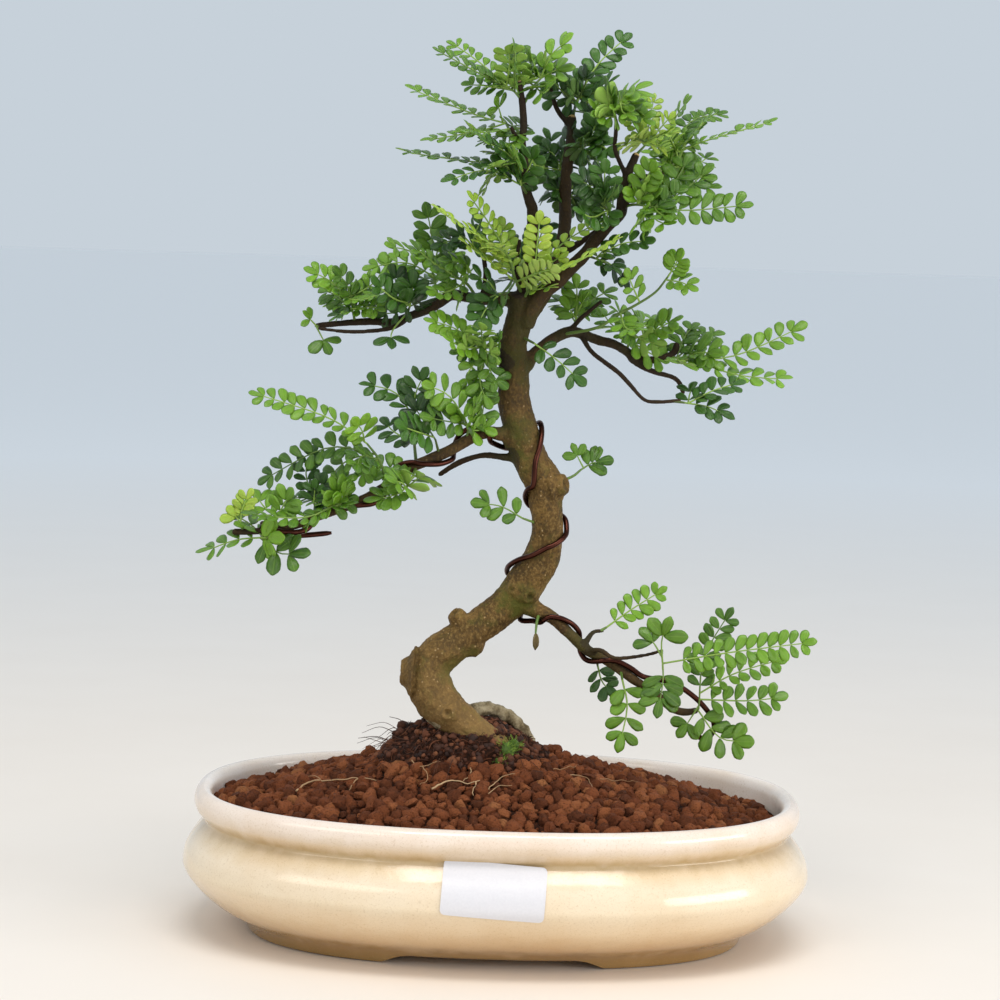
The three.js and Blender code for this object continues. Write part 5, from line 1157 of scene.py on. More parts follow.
# Foliage: a spray is a green stem with its compound leaves (fronds), each a thin rib with pairs of
# leaflets and one at its end. The stem grows from the nearest wood at its first point. A frond is
# [share of the stem it grows at, via x, via z, tip x, tip z, depth to the tip, leaflet pairs,
#  leaflet length, facing: degrees from flat (0) to facing the front (90)].
SPRAYS = [
    ["spray_crown_left_high", "leaf_mid", [[2, 431, -14], [-1, 436, -16]],
     [0.6, -16, 443, -44, 457, -10, 6, 7.5, 30], [1, -19, 450, -36, 461, 12, 5, 7, 40],
     [1, -4, 450, -5, 461, -22, 3, 9, 30]],
    ["spray_crown_left_mid", "leaf_mid", [[4, 414, -12], [-2, 416, -10], [-5, 420, -8]],
     [0.7, -21, 424, -57, 437, 12, 5, 8.5, 18], [0.5, -16, 415, -33, 415.5, -16, 3, 9, 14],
     [1, -9, 428, -12, 433, -12, 1, 9, 60], [0.3, -3, 411, -1, 403, -10, 2, 9, 60]],
    ["spray_crown_left_low", "leaf_mid", [[4.7, 401, -11], [0, 402, -8]],
     [1, -19, 400, -61, 404.5, 4, 5, 8.5, 14], [0.7, -12, 392, -15, 383, 24, 3, 8, 40]],
    ["spray_crown_left_arch", "leaf_dark", [[8, 384, -9], [4, 389, -16]],
     [1, -14, 396, -37, 389, -12, 5, 8.5, 25], [1, 8, 399, 12, 410, -14, 3, 10, 70]],
    ["spray_crown_top", "leaf_mid", [[3, 430, -14], [8, 438, -8], [12, 443, -4]],
     [1, 17, 455, 30, 466, -8, 2, 11, 35], [0.9, 5, 450, -3, 460, 14, 3, 9, 40],
     [0.5, 14, 436, 20, 442, -20, 2, 9, 60]],
    ["spray_crown_centre_high", "leaf_dark", [[28.5, 422, 20], [30, 430, 22]],
     [1, 40, 450, 58, 468, 8, 5, 9.5, 50], [0.8, 42, 438, 51, 447, -16, 3, 9.5, 40],
     [0.7, 20, 440, 14, 454, -8, 3, 10, 70], [0.6, 32, 436, 30, 448, 22, 3, 9, 60]],
    ["spray_crown_right_high", "leaf_mid", [[51, 421, -20], [50, 428, -22]],
     [1, 58, 438, 70, 434, -10, 2, 12, 30], [0.9, 60, 430, 66, 437, 12, 2, 8, 60],
     [0.6, 62, 424, 71, 429, 2, 3, 8.5, 45], [0.4, 43, 426, 37, 434, -6, 3, 9, 45]],
    ["spray_crown_right_young", "leaf_young", [[62, 405, -8], [66, 411, -8]],
     [1, 68, 424, 70, 438, 8, 3, 6, 80], [1, 74, 416, 84, 418, -18, 3, 8, 30]],
    ["spray_crown_arm", "leaf_mid", [[76, 399, 8], [83, 404, 12]], [1, 88, 423, 108, 429, 22, 5, 8, 25],
     [1, 96, 414, 133, 426, -6, 6, 7.5, 16], [0.2, 73, 406, 69, 417, 16, 3, 8, 50],
     [1, 94, 392, 106, 393, 2, 4, 9, 45], [0.9, 92, 402, 100, 408, 30, 3, 8, 40]],
    ["spray_crown_right_low", "leaf_mid", [[55, 380, -8], [62, 381, -14], [72, 380, -18]],
     [1, 90, 379, 123, 383, -12, 5, 10, 60], [0.7, 72, 388, 80, 392, 16, 2, 11, 60],
     [0.6, 74, 373, 84, 371, -18, 2, 10, 50], [0.5, 68, 396, 74, 403, -14, 3, 9.5, 60]],
    ["spray_crown_heart_right", "leaf_dark", [[28, 408, 19], [36, 410, 12]],
     [1, 44, 410, 52, 404, -18, 3, 10, 50], [0.9, 40, 419, 44, 427, -10, 3, 9.5, 60],
     [0.5, 42, 402, 52, 397, 24, 3, 10, 40]],
    ["spray_crown_heart_back", "leaf_dark", [[26.5, 394, 18], [24, 397, 26]],
     [1, 14, 405, 6, 397, 6, 3, 10, 60], [0.9, 19, 408, 14, 419, 10, 3, 10, 50],
     [0.8, 30, 404, 36, 412, 34, 4, 10, 60]],
    ["spray_crown_heart_low", "leaf_dark", [[26.4, 382, 16], [28, 384, 24]],
     [1, 40, 390, 50, 388, 20, 4, 10, 35], [0.8, 34, 380, 40, 372, 16, 3, 10, 50],
     [0.6, 20, 386, 12, 380, 16, 3, 10, 50]],
    ["spray_crown_heart_front", "leaf_dark", [[51, 373, -8], [46, 380, -18]],
     [1, 38, 390, 28, 394, -14, 4, 10, 65], [1, 46, 394, 46, 405, -12, 3, 10, 70],
     [0.6, 40, 374, 30, 379, -16, 3, 10, 55]],
    ["spray_centre_young_left", "leaf_young", [[5, 334, 0], [2, 342, -13], [0, 350, -18]],
     [1, -11, 368, -24, 385, -14, 5, 7.5, 40], [1, -16, 362, -43, 378, -26, 5, 7.5, 25],
     [0.7, -4, 360, -6, 373, 6, 3, 8, 40], [0.5, -14, 352, -27, 361, -26, 3, 8, 30]],
    ["spray_centre_young_right", "leaf_young", [[7, 330, 0], [10, 338, -12], [12, 344, -17]],
     [1, 13, 360, 14, 377, -12, 4, 8, 40], [1, 28, 362, 49, 374, 0, 5, 7.5, 22],
     [0.8, 28, 348, 57, 365, -28, 6, 7.5, 22], [0.4, 20, 346, 30, 350, -14, 2, 8, 30]],
    ["spray_right_leader_low", "leaf_dark", [[37, 354, -7], [43, 353, -12]],
     [1, 56, 361, 74, 363, -8, 4, 9, 40]],
    ["spray_centre_dark", "leaf_dark", [[14, 333, 6], [10, 342, 20]], [1, 4, 354, -6, 362, 20, 4, 10, 55],
     [1, 14, 362, 18, 374, 18, 4, 10, 55], [0.7, 22, 340, 32, 334, 24, 3, 9, 40]],
    ["spray_upper_left_tip", "leaf_mid", [[-96, 315, 27], [-98, 314, 24]],
     [1, -101, 317, -106, 322, -6, 1, 7, 50], [1, -94, 306, -91, 300, -8, 1, 10, 60]],
    ["spray_upper_left_long", "leaf_mid", [[-80, 317, 25], [-80, 322, 22]],
     [1, -90, 336, -106, 344, -8, 4, 9, 40], [1, -70, 337, -61, 352, 14, 4, 8, 50],
     [0.6, -70, 325, -64, 322, -14, 2, 8, 60], [0.7, -88, 326, -96, 330, 18, 2, 8, 45]],
    ["spray_upper_left_dark", "leaf_dark", [[-52, 320, 19], [-51, 326, 12]],
     [1, -50, 334, -50, 345, -8, 3, 11, 75], [0.4, -60, 312, -58, 303, -20, 1, 11, 70],
     [0.8, -60, 330, -72, 340, -14, 3, 9, 60]],
    ["spray_upper_left_inner", "leaf_mid", [[-36, 328, 15], [-38, 336, 20], [-40, 344, 22]],
     [1, -41, 362, -45, 380, -10, 4, 10, 70], [0.8, -54, 348, -76, 344, 2, 5, 9, 40],
     [0.6, -34, 344, -33, 354, 26, 3, 9, 60], [0.9, -52, 354, -66, 356, -20, 3, 9, 40]],
    ["spray_upper_left_shoot", "leaf_mid", [[-16, 331, 9], [-22, 338, 3], [-30, 343, 0]],
     [1, -42, 350, -53, 360, -8, 5, 9, 30], [0.6, -24, 348, -38, 350, -14, 4, 9, 45],
     [0.5, -32, 334, -44, 332, -16, 3, 9, 40]],
    ["spray_upper_left_twig", "leaf_dark", [[-14, 352, 0], [-19, 356, -4]],
     [1, -30, 360, -42, 355, -8, 4, 9, 45], [1, -18, 366, -14, 374, -18, 3, 9, 55]],
    ["spray_trunk_front_grey", "leaf_dark", [[0, 331, 3], [-5, 334, -10]],
     [1, -12, 326, -18, 313, -8, 3, 10, 70], [1, -12, 340, -22, 342, -16, 3, 9, 50]],
    ["spray_stub_left", "leaf_mid", [[-9, 299, -2], [-11, 303, -4]], [1, -27, 315, -45, 320, -8, 4, 9, 45],
     [0.8, -24, 306, -34, 312, -18, 3, 9, 50], [1, -6, 307, -5, 315, -14, 2, 9, 60],
     [0.2, -14, 288, -8, 275, -10, 3, 9, 65]],
    ["spray_left_low_base", "leaf_mid", [[-20, 258, -7], [-19, 265, -10]],
     [1, -30, 281, -46, 287, -14, 4, 10, 60], [1, -32, 268, -45, 270, -16, 3, 10, 60],
     [0.7, -12, 274, -16, 290, 2, 4, 9, 55]],
    ["spray_left_low_inner", "leaf_dark", [[-33, 250, -11], [-36, 258, -16]],
     [1, -44, 270, -52, 281, -2, 4, 11, 75], [1, -46, 262, -58, 266, -24, 3, 11, 65]],
    ["spray_left_low_high", "leaf_dark", [[-44, 245, -13], [-47, 258, 0], [-48, 270, 4]],
     [1, -58, 282, -77, 286, 4, 3, 10, 50], [1, -46, 284, -40, 296, -8, 4, 10, 60],
     [0.5, -58, 262, -64, 270, 18, 3, 10, 60]],
    ["spray_left_low_long", "leaf_mid", [[-60, 234, -16], [-64, 246, -22], [-71, 255, -24]],
     [1, -92, 268, -133, 280, -4, 6, 9, 40], [0.7, -92, 252, -127, 233, 8, 6, 9.5, 50],
     [1, -74, 262, -80, 269, -18, 2, 10, 70], [0.5, -74, 248, -76, 238, -20, 3, 9, 75]],
    ["spray_left_low_under", "leaf_mid", [[-45, 245, -13], [-47, 239, -20]],
     [1, -54, 230, -72, 225, -8, 4, 11, 30], [1, -52, 235, -62, 238, -24, 3, 11, 60],
     [0.8, -60, 243, -72, 244, 9, 4, 10, 50], [0.8, -44, 240, -36, 234, 34, 4, 10, 45]],
    ["spray_left_low_mid", "leaf_mid", [[-79, 223, -20], [-82, 226, -27]],
     [1, -102, 216, -135, 217, -14, 6, 9, 20], [1, -88, 232, -94, 231, -8, 2, 11, 70],
     [1, -100, 226, -112, 226, 30, 4, 9, 40], [1, -84, 234, -82, 242, 14, 3, 9, 55]],
    ["spray_left_low_upright", "leaf_dark", [[-96, 216, -22], [-97, 222, -22]],
     [1, -102, 240, -97, 254, 14, 3, 7.5, 45], [1, -94, 232, -91, 240, -6, 2, 8, 50]],
    ["spray_left_low_outer", "leaf_mid", [[-118, 210, -24], [-117, 214, -28]],
     [1, -112, 224, -107, 232, -6, 3, 10, 70], [0.9, -124, 222, -128, 230, 14, 3, 9, 60]],
    ["spray_left_low_tip", "leaf_mid", [[-123, 209, -24], [-123, 205, -26]],
     [1, -138, 203, -157, 195, 2, 4, 10, 30], [1, -114, 197, -99, 199, -10, 2, 12, 70]],
    ["spray_left_low_end", "leaf_young", [[-134, 208, -24], [-135, 211, -25]],
     [1, -134, 220, -129, 230, -3, 3, 7, 45], [1, -138, 216, -141, 222, 0, 1, 8, 60]],
    ["spray_trunk_right_high", "leaf_dark", [[9, 312, 2], [13, 309, -8]],
     [1, 26, 300, 40, 288, -8, 3, 10, 50]],
    ["spray_trunk_right", "leaf_mid", [[28, 237, -1], [34, 241, 2], [39, 245, 4]],
     [1, 46, 249, 56, 249, 3, 3, 10, 60], [1, 37, 252, 34, 259, 0, 1, 8, 60]],
    ["spray_trunk_left", "leaf_mid", [[16, 215, -4], [10, 219, -10]], [1, -2, 225, -17, 226, -3, 3, 10, 65]],
    ["leaf_dry_hanging", "leaf_dry", [[20, 171, -3], [19, 166, -9], [18.5, 160, -11]],
     [1, 18.6, 156, 19, 151, 0, 0, 9.5, 80]],
    ["spray_right_mid_long", "leaf_mid", [[83, 305, 24], [88, 303, 22]],
     [1, 116, 306, 152, 323, 8, 7, 10, 45], [1, 118, 296, 147, 294.5, -6, 5, 10, 30],
     [0.5, 98, 314, 110, 317, 18, 3, 9, 45], [0.8, 98, 307, 112, 305, -16, 2, 12, 65]],
    ["spray_right_mid_low", "leaf_dark", [[85, 281.5, -4], [91, 281, -5]],
     [1, 104, 279, 116, 273, -4, 3, 10, 40], [1, 106, 288, 122, 293, 6, 4, 9, 35]],
    ["spray_right_mid_inner", "leaf_mid", [[60, 306.5, 20], [62, 312, 20]],
     [1, 73, 317, 89, 326, -12, 4, 10, 45], [1, 60, 316, 55, 323, -14, 3, 9, 55],
     [1, 68, 322, 78, 324, 26, 4, 10, 40], [0.8, 52, 320, 46, 328, 26, 4, 9, 50]],
    ["spray_right_shoot", "leaf_mid",
     [[27, 314, 12], [45, 318, 0], [55, 325, -4], [64, 330, -6], [74, 337, -8], [80, 345, -8]],
     [1, 84, 352, 87, 360, -3, 4, 8, 50], [0.96, 88, 342, 96, 337, -10, 2, 9, 40],
     [0.7, 62, 340, 58, 349, -10, 3, 8, 55], [0.5, 60, 318, 70, 318, -22, 3, 9, 40]],
    ["spray_right_mid_base", "leaf_mid", [[32, 316, 14], [34, 322, 20]], [1, 34, 334, 33, 346, 4, 3, 9, 60],
     [1, 42, 332, 54, 339, 14, 3, 9, 45], [0.7, 28, 328, 22, 334, 28, 3, 9, 50]],
    ["spray_right_low_twig", "leaf_mid", [[52, 162, 2], [55, 164, 2]], [1, 68, 174, 86, 186, 4, 4, 8.5, 65]],
    ["spray_right_low_node", "leaf_mid", [[83, 152.5, -26], [84, 151, -31]],
     [1, 85, 136, 82, 116, -6, 4, 12, 85], [0.9, 120, 153, 165, 160, -28, 6, 9.5, 60],
     [0.9, 84, 160, 92, 167, -10, 1, 12, 70], [0.8, 78, 158, 70, 160, 8, 1, 11, 70]],
    ["spray_right_low_hanging", "leaf_mid", [[63, 142, -11], [64, 137, -18]],
     [1, 67, 122, 63, 99, -4, 4, 11, 85]],
    ["spray_right_low_inner", "leaf_dark", [[50, 150, -9], [51, 144, -3]],
     [1, 54, 135, 62, 128, 2, 2, 9, 60]],
    ["spray_right_low_tip", "leaf_mid", [[101, 122, -16], [104, 123, -21]],
     [1, 106, 150, 120, 177, -4, 6, 9, 60], [1, 122, 142, 149, 151, -14, 5, 9, 45],
     [0.8, 130, 128, 150, 131, 6, 4, 9.5, 60], [0.6, 116, 108, 134, 107, 2, 2, 12, 75],
     [0.6, 97, 113, 92, 109, 4, 1, 10, 70]],
]
LEAFLET_ANGLE = math.radians(62)
# How far one leaflet departs from the next, as the lowest and the highest of each.
VARIES = {
    "angle": (0.86, 1.1), "rise": (-0.02, 0.24), "roll": (-0.4, 0.12), "nod": (-0.15, 0.15),
    "length": (0.9, 1.08), "tone": (-0.14, 0.16),
}
LEAFLET_STEP = 0.72  # from one pair to the next, as a share of the leaflet's length
FORK, FORK_PITCH, JOINT_CLEAR = 1.5, 3.2, 0.9
STEM_RADIUS, RIB_RADIUS = 0.75, 0.42
FROND_PARTS = 200  # steps in which a frond's line is measured

# Leaflet outlines: half widths at seven places from the base to the tip, the fold at the midrib,
# how far the blade droops to its tip, and the depth of the notch there. The last is a curled dead one.
BLADES = [
    ([0.035, 0.12, 0.225, 0.285, 0.285, 0.225, 0.13], 0.14, 0.06, 0.02),
    ([0.035, 0.1, 0.195, 0.27, 0.295, 0.25, 0.15], 0.06, 0.12, 0.03),
    ([0.04, 0.14, 0.26, 0.32, 0.315, 0.25, 0.14], 0.1, 0.03, 0.035),
    ([0.035, 0.1, 0.185, 0.24, 0.25, 0.2, 0.11], 0.22, 0.1, 0.0),
    ([0.035, 0.12, 0.22, 0.28, 0.3, 0.245, 0.14], 0.02, 0.17, 0.025),
    ([0.035, 0.13, 0.24, 0.295, 0.29, 0.225, 0.12], 0.3, 0.04, 0.03),
    ([0.04, 0.11, 0.17, 0.19, 0.17, 0.12, 0.06], 0.9, 0.2, 0.0),
]
BLADE_ROWS = [0.0, 0.1, 0.28, 0.5, 0.72, 0.88, 0.97]
BLADE_COLUMNS = (-1, -0.52, 0, 0.52, 1)
BLADE_THICK = 0.045  # as a share of the leaflet's length


def blade_object(number, half_widths, fold, droop, notch):
    """One leaflet, a unit long: a closed blade, 6 steps along and 4 across, creased at the midrib."""
    points, spots = [], {}

    def corner(row, column, under):
        inner = 0 < column < 4 and 0 < row < 6
        key = (row, column, under and inner)
        if key not in spots:
            across, far = BLADE_COLUMNS[column], BLADE_ROWS[row]
            x = across * half_widths[row]
            if row in (5, 6):
                far += 0.03 * (1 - abs(across)) - 0.05 * across * across
            if row == 6:
                far -= notch * (1 - abs(across))
            edge_wave = 0.012 * math.sin(5 * row + 2 * number) * across * across
            crown = 0.035 * math.sin(math.pi * min(1, abs(across))) * math.sin(math.pi * far)
            z = fold * abs(x) + crown - droop * far * far + edge_wave
            if inner:
                z += (-0.5 if under else 0.5) * BLADE_THICK
            spots[key] = len(points)
            points.append(Vector((x, far, z)) / MM)
        return spots[key]

    faces, maps = [], []
    for under in (False, True):
        for row, column in ((row, column) for row in range(6) for column in range(4)):
            places = [(row, column), (row, column + 1), (row + 1, column + 1), (row + 1, column)]
            faces.append([corner(*place, under) for place in places][::-1 if under else 1])
            maps += places[::-1 if under else 1]
    blade = mesh_object(f"blade_{number}", points, faces)
    lies = blade.data.uv_layers.new(name="blade_map")
    for index, (row, column) in enumerate(maps):
        lies.data[index].uv = ((BLADE_COLUMNS[column] + 1) / 2, BLADE_ROWS[row])
    mark(blade, "underside", [0.0] * 24 + [1.0] * 24, domain="FACE")
    return blade


blades = loose_pieces("blades", [blade_object(number, *shape) for number, shape in enumerate(BLADES)])

# Compound leaves: a stalk along every guide edge, and on each loose guide point one of the blades,
# turned and sized as that point says.
compound, given = new_tree(
    "compound_leaves", Blades="Collection", Stalk_sides="Int", Stalk_finish="Material", Blade_finish="Material",
)
LEAFLET_FACTS = {"is_leaflet": "BOOLEAN", "blade": "INT", "turn": "FLOAT_VECTOR", "long": "FLOAT"}
is_leaflet, blade, turn, long = (
    node(compound, "GeometryNodeInputNamedAttribute", {"Name": name}, data_type=kind)[0]
    for name, kind in LEAFLET_FACTS.items()
)
blades_in = node(compound, "GeometryNodeCollectionInfo", {
    "Collection": given["Blades"], "Separate Children": True, "Reset Children": True,
})[0]
blades_out = node(compound, "GeometryNodeInstanceOnPoints", {
    "Points": given["Mesh"], "Selection": is_leaflet, "Instance": blades_in, "Pick Instance": True,
    "Instance Index": blade, "Rotation": node(compound, "FunctionNodeEulerToRotation", {"Euler": turn})[0],
    "Scale": long,
})[0]
blades_whole = node(compound, "GeometryNodeRealizeInstances", {"Geometry": blades_out})[0]
leafage = node(compound, "GeometryNodeJoinGeometry", {"Geometry": [
    tube_of(compound, given, "Stalk sides", "Stalk finish"),
    node(compound, "GeometryNodeSetMaterial", {"Geometry": blades_whole, "Material": given["Blade finish"]})[0],
]})[0]
node(compound, "NodeGroupOutput", {"Mesh": leafage})


def leaf_finish(name, shade, light, underside, roughness, glow):
    """A leaf's skin: waxy and glossy above, paler and dull below, with a light midrib and fine veins."""
    material, tree, shader, place = new_finish(name)
    own, below = (node(tree, "Attribute", attribute_name=title)["Fac"] for title in ("tone", "underside"))
    on_blade = node(tree, "SeparateXYZ", {"Vector": node(tree, "UVMap", uv_map="blade_map")[0]})
    from_middle = node(tree, "Math", {0: on_blade["X"], 1: 0.5}, operation="SUBTRACT")[0]
    off_rib = node(tree, "Math", {0: from_middle}, operation="ABSOLUTE")[0]
    mottle = node(tree, "TexNoise", {"Vector": place, "Scale": 330, "Detail": 3})[0]
    age = node(tree, "Math", {0: mottle, 1: 0.5, 2: own}, operation="MULTIPLY_ADD")[0]
    # Side veins leave the midrib at a slant, about ten on each half of the blade.
    slant = node(tree, "Math", {0: off_rib, 1: -1.1, 2: on_blade["Y"]}, operation="MULTIPLY_ADD")[0]
    phase = node(tree, "Math", {0: slant, 1: 62}, operation="MULTIPLY")[0]
    vein = node(tree, "Math", {0: phase}, operation="SINE")[0]
    skin_tone = layer(shade, light, age, 0.1, 1.4)
    skin_tone = layer(skin_tone, light, vein, 0.75, 1.0, 0.12)
    skin_tone = layer(skin_tone, underside, off_rib, 0.045, 0.01, 0.34)
    sheen = node(tree, "MapRange", {"Value": mottle, "To Min": roughness - 0.06, "To Max": roughness + 0.1})[0]
    dulled = node(tree, "Math", {0: below, 1: 0.3, 2: sheen}, operation="MULTIPLY_ADD", use_clamp=True)[0]
    feed(shader, {
        "Base Color": layer(skin_tone, underside, below), "Roughness": dulled, "IOR": 1.45, "Coat Weight": 0.22,
        "Coat Roughness": 0.14, "Subsurface Weight": glow, "Subsurface Radius": GREEN_GLOW,
        "Subsurface Scale": 0.0012,
        "Normal": node(tree, "Bump", {"Strength": 0.45, "Distance": 0.0003, "Height": vein})[0],
    })
    return material


# Old leaves are dark and glossy, the main crop mid green, new shoots thin and yellow green; the dead
# leaf is dull tan. Stalks are green, browner on the older ones. Each slot has its fronds' middle tone.
LEAVES = {
    "leaf_dark": (0.4, leaf_finish("old_leaf", "#17360d", "#47781d", "#5d7e38", 0.3, 0.1)),
    "leaf_mid": (0.5, leaf_finish("grown_leaf", "#214b0c", "#84b52a", "#8bb048", 0.32, 0.18)),
    "leaf_young": (0.5, leaf_finish("new_leaf", "#7a9f28", "#b6d04c", "#a9c25c", 0.38, 0.25)),
    "leaf_dry": (0.5, leaf_finish("withered_leaf", "#574726", "#857341", "#968556", 0.75, 0.05)),
}
stalk_skin, tree, shader, place = new_finish("green_stalk")
own = node(tree, "Attribute", attribute_name="tone")["Fac"]
streak = node(tree, "TexNoise", {"Vector": place, "Scale": 240, "Detail": 3})[0]
age = node(tree, "Math", {0: streak, 1: 0.4, 2: own}, operation="MULTIPLY_ADD")[0]
stalk_tones = [(0.15, "#474f26"), (0.5, "#55702f"), (1.0, "#8bab4b")]
feed(shader, {
    "Base Color": node(tree, "ValToRGB", {"Fac": age}, stalk_tones)[0],
    "Roughness": node(tree, "MapRange", {"Value": streak, "To Min": 0.35, "To Max": 0.6})[0], "IOR": 1.45,
})

wood_places = []
for limb in limbs:
    for spot, girth in zip(limb["line"], limb["girths"]):
        on_plane = EYE + (spot - EYE) * (-EYE.y / (spot.y - EYE.y))
        wood_places.append((on_plane.x - SIGHT_SHIFT, on_plane.z + GROUND, spot, girth))


def place_at(line, share):
    """The place at a share of the length of a smooth line, from the places measured along it."""
    places, lengths = line
    far = share * lengths[-1]
    step = min(max(int(np.searchsorted(lengths, far)), 1), FROND_PARTS)
    part = (far - lengths[step - 1]) / max(lengths[step] - lengths[step - 1], 1e-9)
    return places[step - 1].lerp(places[step], part)


def frond_layout(root, frond, swing):
    """Where a frond runs from its root, and which way its blades face."""
    _, via_x, via_z, tip_x, tip_z, depth, _, _, facing = frond
    via, tip = seen(via_x, via_z, root.y + depth / 2), seen(tip_x, tip_z, root.y + depth)
    via, tip = root + swing @ (via - root), root + swing @ (tip - root)
    places = [curve_point([root, via, tip], step * 2 / FROND_PARTS) for step in range(FROND_PARTS + 1)]
    lengths = [0.0]
    for a, b in zip(places, places[1:]):
        lengths.append(lengths[-1] + (b - a).length)
    to_tip = (tip - root).normalized()
    normal = swing @ Vector((0, -math.sin(math.radians(facing)), math.cos(math.radians(facing))))
    return (places, lengths), (normal - to_tip * normal.dot(to_tip)).normalized()


def along_path(path, distance):
    for a, b in zip(path, path[1:]):
        step = (b - a).length
        if distance <= step or b is path[-1]:
            return a.lerp(b, distance / step)
        distance -= step


def fork_places(carrier, foot_girth, fronds):
    """Where each side frond leaves the stem, kept clear of the wood, the bends and each other."""
    joints = [0.0]
    for a, b in zip(carrier[:-2], carrier[1:-1]):
        joints.append(joints[-1] + (b - a).length)
    free = foot_girth + FORK
    places = []
    for frond in sorted(fronds, key=lambda one: one[0]):
        at = max(frond[0] * joints[-1], free)
        blocked = [joint for joint in joints if at - JOINT_CLEAR < joint < at + FORK + JOINT_CLEAR]
        if blocked:
            at = blocked[0] + JOINT_CLEAR
        free = at + FORK_PITCH
        places.append((along_path(carrier, at + FORK / 2), frond))
    used = max(0.0, free - FORK_PITCH + FORK - joints[-1]) + FORK if places else 0.0
    return places, used


def grow_frond(guides, leaflets, root, frond, chance, base_tone, swing, used=0.0):
    """Adds a frond's rib, and a point for each leaflet with its turn, length, blade and tone."""
    line, normal = frond_layout(root, frond, swing)
    length = line[1][-1]
    pairs, leaf_long = frond[6], frond[7]
    if pairs > 1:
        closest = int(length / (LEAFLET_STEP * leaf_long))
        pairs = max(2, closest) if swing != AS_LISTED else max(pairs, closest)
    own = base_tone + chance.uniform(-0.4, 0.4)
    rib = [place_at(line, step / 10) for step in range(10)]
    end_place = place_at(line, max(0.05, 1 - 0.9 * leaf_long / length))
    rib = rib[:1] + [point for point in rib[1:] if (point - root).length < (end_place - root).length - 0.6]
    rib.append(end_place)
    thick = [RIB_RADIUS * (1.25 - 0.55 * step / len(rib)) for step in range(len(rib))]
    guides.append((rib, thick, min(1.0, own + 0.25)))
    end = max(0.3, 1 - 0.95 * leaf_long / length) if pairs else 0.02
    first = end if pairs < 2 else min(max(0.14, (used + 2) / length), 0.5 * end)
    for pair in range(pairs + 1):
        is_end = pair == pairs
        share = end if is_end or pairs < 2 else first + (end - first) * pair / (pairs - 1)
        tangent = (place_at(line, min(share + 0.02, 1)) - place_at(line, max(share - 0.02, 0))).normalized()
        facing = (normal - tangent * normal.dot(tangent)).normalized()
        side = facing.cross(tangent)
        taper = 0.8 + 0.2 * math.sin(math.pi * min(1, (pair + 0.6) / max(1, pairs)))
        for hand in (0,) if is_end else (-1, 1):
            spread = LEAFLET_ANGLE * chance.uniform(*VARIES["angle"])
            way = tangent * math.cos(spread) + side * (hand * math.sin(spread)) if hand else tangent.copy()
            way = (way + facing * chance.uniform(*VARIES["rise"])).normalized()
            roll, nod = chance.uniform(*VARIES["roll"]), chance.uniform(*VARIES["nod"])
            up = facing + side * (hand * roll) + tangent * nod
            up += Vector((chance.uniform(-1, 1), chance.uniform(-1, 1), chance.uniform(-0.4, 1))) * 0.3
            up = (up - way * up.dot(way)).normalized()
            turn = Matrix((way.cross(up), way, up)).transposed().to_euler()
            long = leaf_long * (0.95 if is_end else taper) * chance.uniform(*VARIES["length"])
            spot = place_at(line, share) + side * (hand * (RIB_RADIUS * 0.5 + (0.25 if hand else 0)))
            blade = chance.randrange(len(BLADES) - 1) if pairs else len(BLADES) - 1
            leaflets.append((spot, turn, long, blade, own + chance.uniform(*VARIES["tone"])))


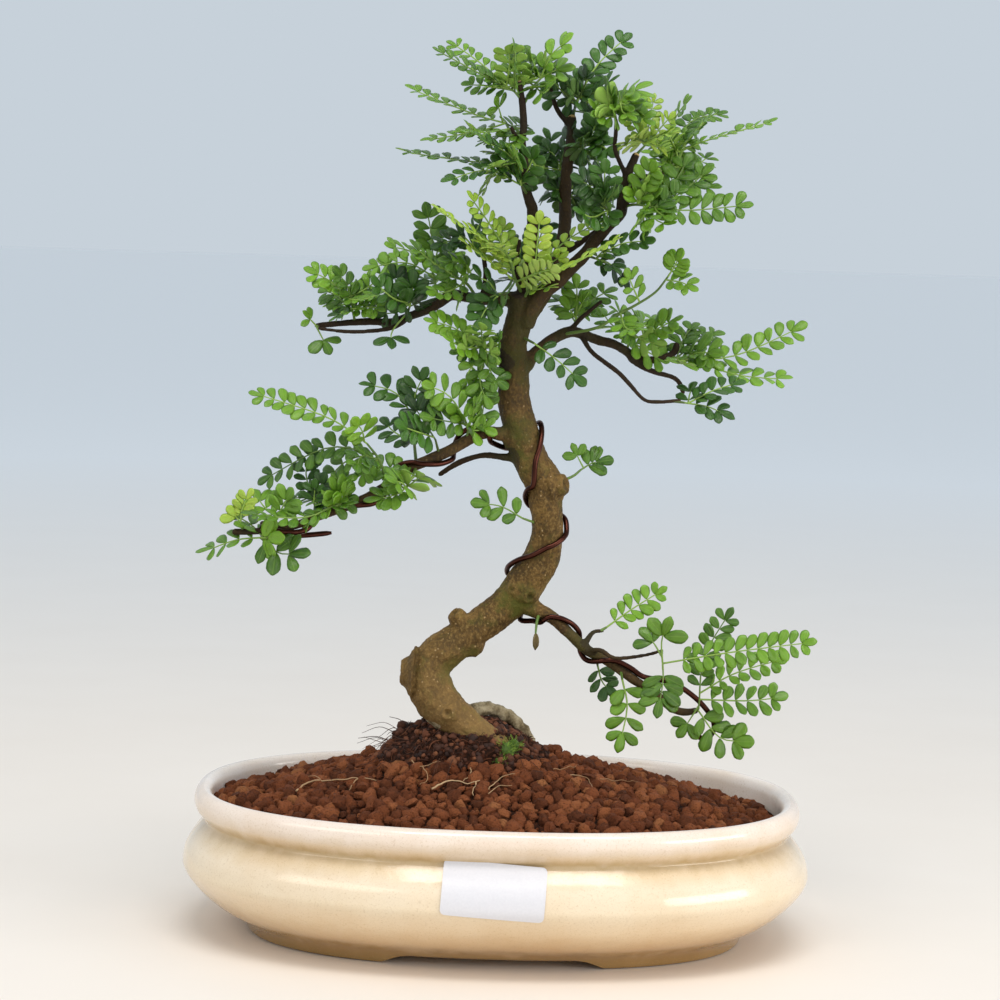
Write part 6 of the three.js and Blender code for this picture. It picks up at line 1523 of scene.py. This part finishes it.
# How likely each listed frond is, three times over, to have a smaller one beside it.
FILLED = {
    "spray_crown": 0.75, "spray_upper": 0.5, "spray_centre_dark": 0.8, "spray_right_leader": 0.7,
    "spray_centre": 0.35, "spray_left": 0.3, "spray_right_mid": 0.3, "spray_stub": 0.4,
    "spray_trunk_front": 0.3,
}
AS_LISTED = Matrix.Identity(3)
CROWN_INSIDE = (154, 104, 458)  # no smaller frond ends past these sides and this height
for number, (name, slot, stem_places, *fronds) in enumerate(SPRAYS):
    chance = random.Random(100 + number)
    tone, skin_of_leaf = LEAVES[slot]
    foot_x, foot_z, _ = stem_places[0]
    _, _, foot, foot_girth = min(wood_places, key=lambda spot: math.hypot(spot[0] - foot_x, spot[1] - foot_z))
    stem = [foot] + [seen(*spot) for spot in stem_places[1:]]
    main_line, _ = frond_layout(stem[-1], fronds[0], AS_LISTED)
    forks, used = fork_places(stem + [place_at(main_line, 0.3)], foot_girth, fronds[1:])
    bends = smooth_line(stem, 4)
    stem_thick = [STEM_RADIUS * (1.25 - 0.6 * step / len(bends)) for step in range(len(bends))]
    guides, leaflets = [(bends, stem_thick, 0.1 if slot == "leaf_dark" else 0.35)], []
    grow_frond(guides, leaflets, stem[-1], fronds[0], chance, tone, AS_LISTED, used)
    for root, frond in forks:
        grow_frond(guides, leaflets, root, frond, chance, tone, AS_LISTED)
    # The smaller fronds behind and between those listed, which fill the inside of the crown.
    likely = next((share for start, share in FILLED.items() if name.startswith(start)), 0)
    for root, frond in ([(stem[-1], fronds[0])] + forks) * 3:
        if chance.random() > likely or frond[6] < 2:
            continue
        swing = Matrix.Rotation(math.radians(chance.choice((-1, 1)) * chance.uniform(16, 58)), 3, "Y")
        swing = swing @ Matrix.Rotation(math.radians(chance.uniform(-100, 100)), 3, "Z")
        swing = swing @ Matrix.Scale(chance.uniform(0.5, 0.85), 3)
        tip = frond_layout(root, frond, swing)[0][0][-1]
        if abs(tip.x) < CROWN_INSIDE[0] and abs(tip.y) < CROWN_INSIDE[1] and tip.z < CROWN_INSIDE[2]:
            grow_frond(guides, leaflets, root, frond, chance, tone - 0.1, swing)
    spray = paths_object(name + "_in_leaf", guides)
    start = len(spray.data.vertices)
    spray.data.vertices.add(len(leaflets))
    for title, kind in LEAFLET_FACTS.items():
        spray.data.attributes.new(title, kind, "POINT")
    facts = spray.data.attributes
    for index, (spot, turn, long, blade, own) in enumerate(leaflets, start):
        spray.data.vertices[index].co = spot * MM
        facts["turn"].data[index].vector = turn
        for title, value in (("is_leaflet", True), ("blade", blade), ("long", long * MM), ("tone", own)):
            facts[title].data[index].value = value
    grown(spray, compound, Blades=blades, Stalk_sides=6, Stalk_finish=stalk_skin, Blade_finish=skin_of_leaf)
    spray.data.shade_smooth()
    placed(spray, slot, name)

# Studio: a plain pale floor that runs out of sight, a pale sky of light, and three large soft
# lamps: one high on the left in front, one low on the right, and one above.
FLOOR_REACH = 60  # metres
FLOOR_DROP = 0.2  # millimetres under the pot's foot
LAMP_FLAT = 0.45  # a lamp's height as a share of its width
LIT_PLACE = (0, 0, 0.2)

# Painted board: matt and nearly white, with the faintest mottle, warm near the pot and cooler away
# from it, so that it meets the pale sky without a line.
board, tree, shader, place = new_finish("matt_painted_board")
mottle = node(tree, "TexNoise", {"Vector": place, "Scale": 9, "Detail": 3})[0]
away = node(tree, "VectorMath", {0: place}, operation="LENGTH")["Value"]
near_tone = layer("#ebe2d8", "#f0e8df", mottle)
feed(shader, {"Base Color": layer(near_tone, "#fbfcfd", away, 0.6, 3.0), "Roughness": 0.7})

floor_points = [
    Vector((math.cos(turn), math.sin(turn), 0)) * FLOOR_REACH / MM - Vector((0, 0, FLOOR_DROP))
    for turn in (math.radians(step) for step in range(0, 360, 10))
]
mesh_object("floor", floor_points, [list(range(len(floor_points)))], board)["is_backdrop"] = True

world = bpy.data.worlds.new("studio")
bpy.context.scene.world = world
world.use_nodes = True
feed(world.node_tree.nodes["Background"], {"Color": "#c7d1da", "Strength": 1.0})
for name, spot, size, power, colour in (
    ("key", (-1.3, -1.3, 1.4), 1.5, 9, "#fff4e6"),
    ("fill", (1.8, -1.0, 0.6), 1.5, 18, "#fff8f0"),
    ("top", (0.1, -0.7, 1.8), 1.2, 16, "#fffaf4"),
):
    lamp = in_scene(name, bpy.data.lights.new(name, "AREA"))
    lamp.data.shape, lamp.data.size, lamp.data.size_y = "RECTANGLE", size, size * LAMP_FLAT
    lamp.data.energy, lamp.data.color = power, linear(colour)[:3]
    to_pot = Vector(LIT_PLACE) - Vector(spot)
    lamp.matrix_world = Matrix.Translation(spot) @ to_pot.to_track_quat("-Z", "Y").to_matrix().to_4x4()
bpy.context.scene.view_settings.view_transform = "Standard"

low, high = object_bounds()
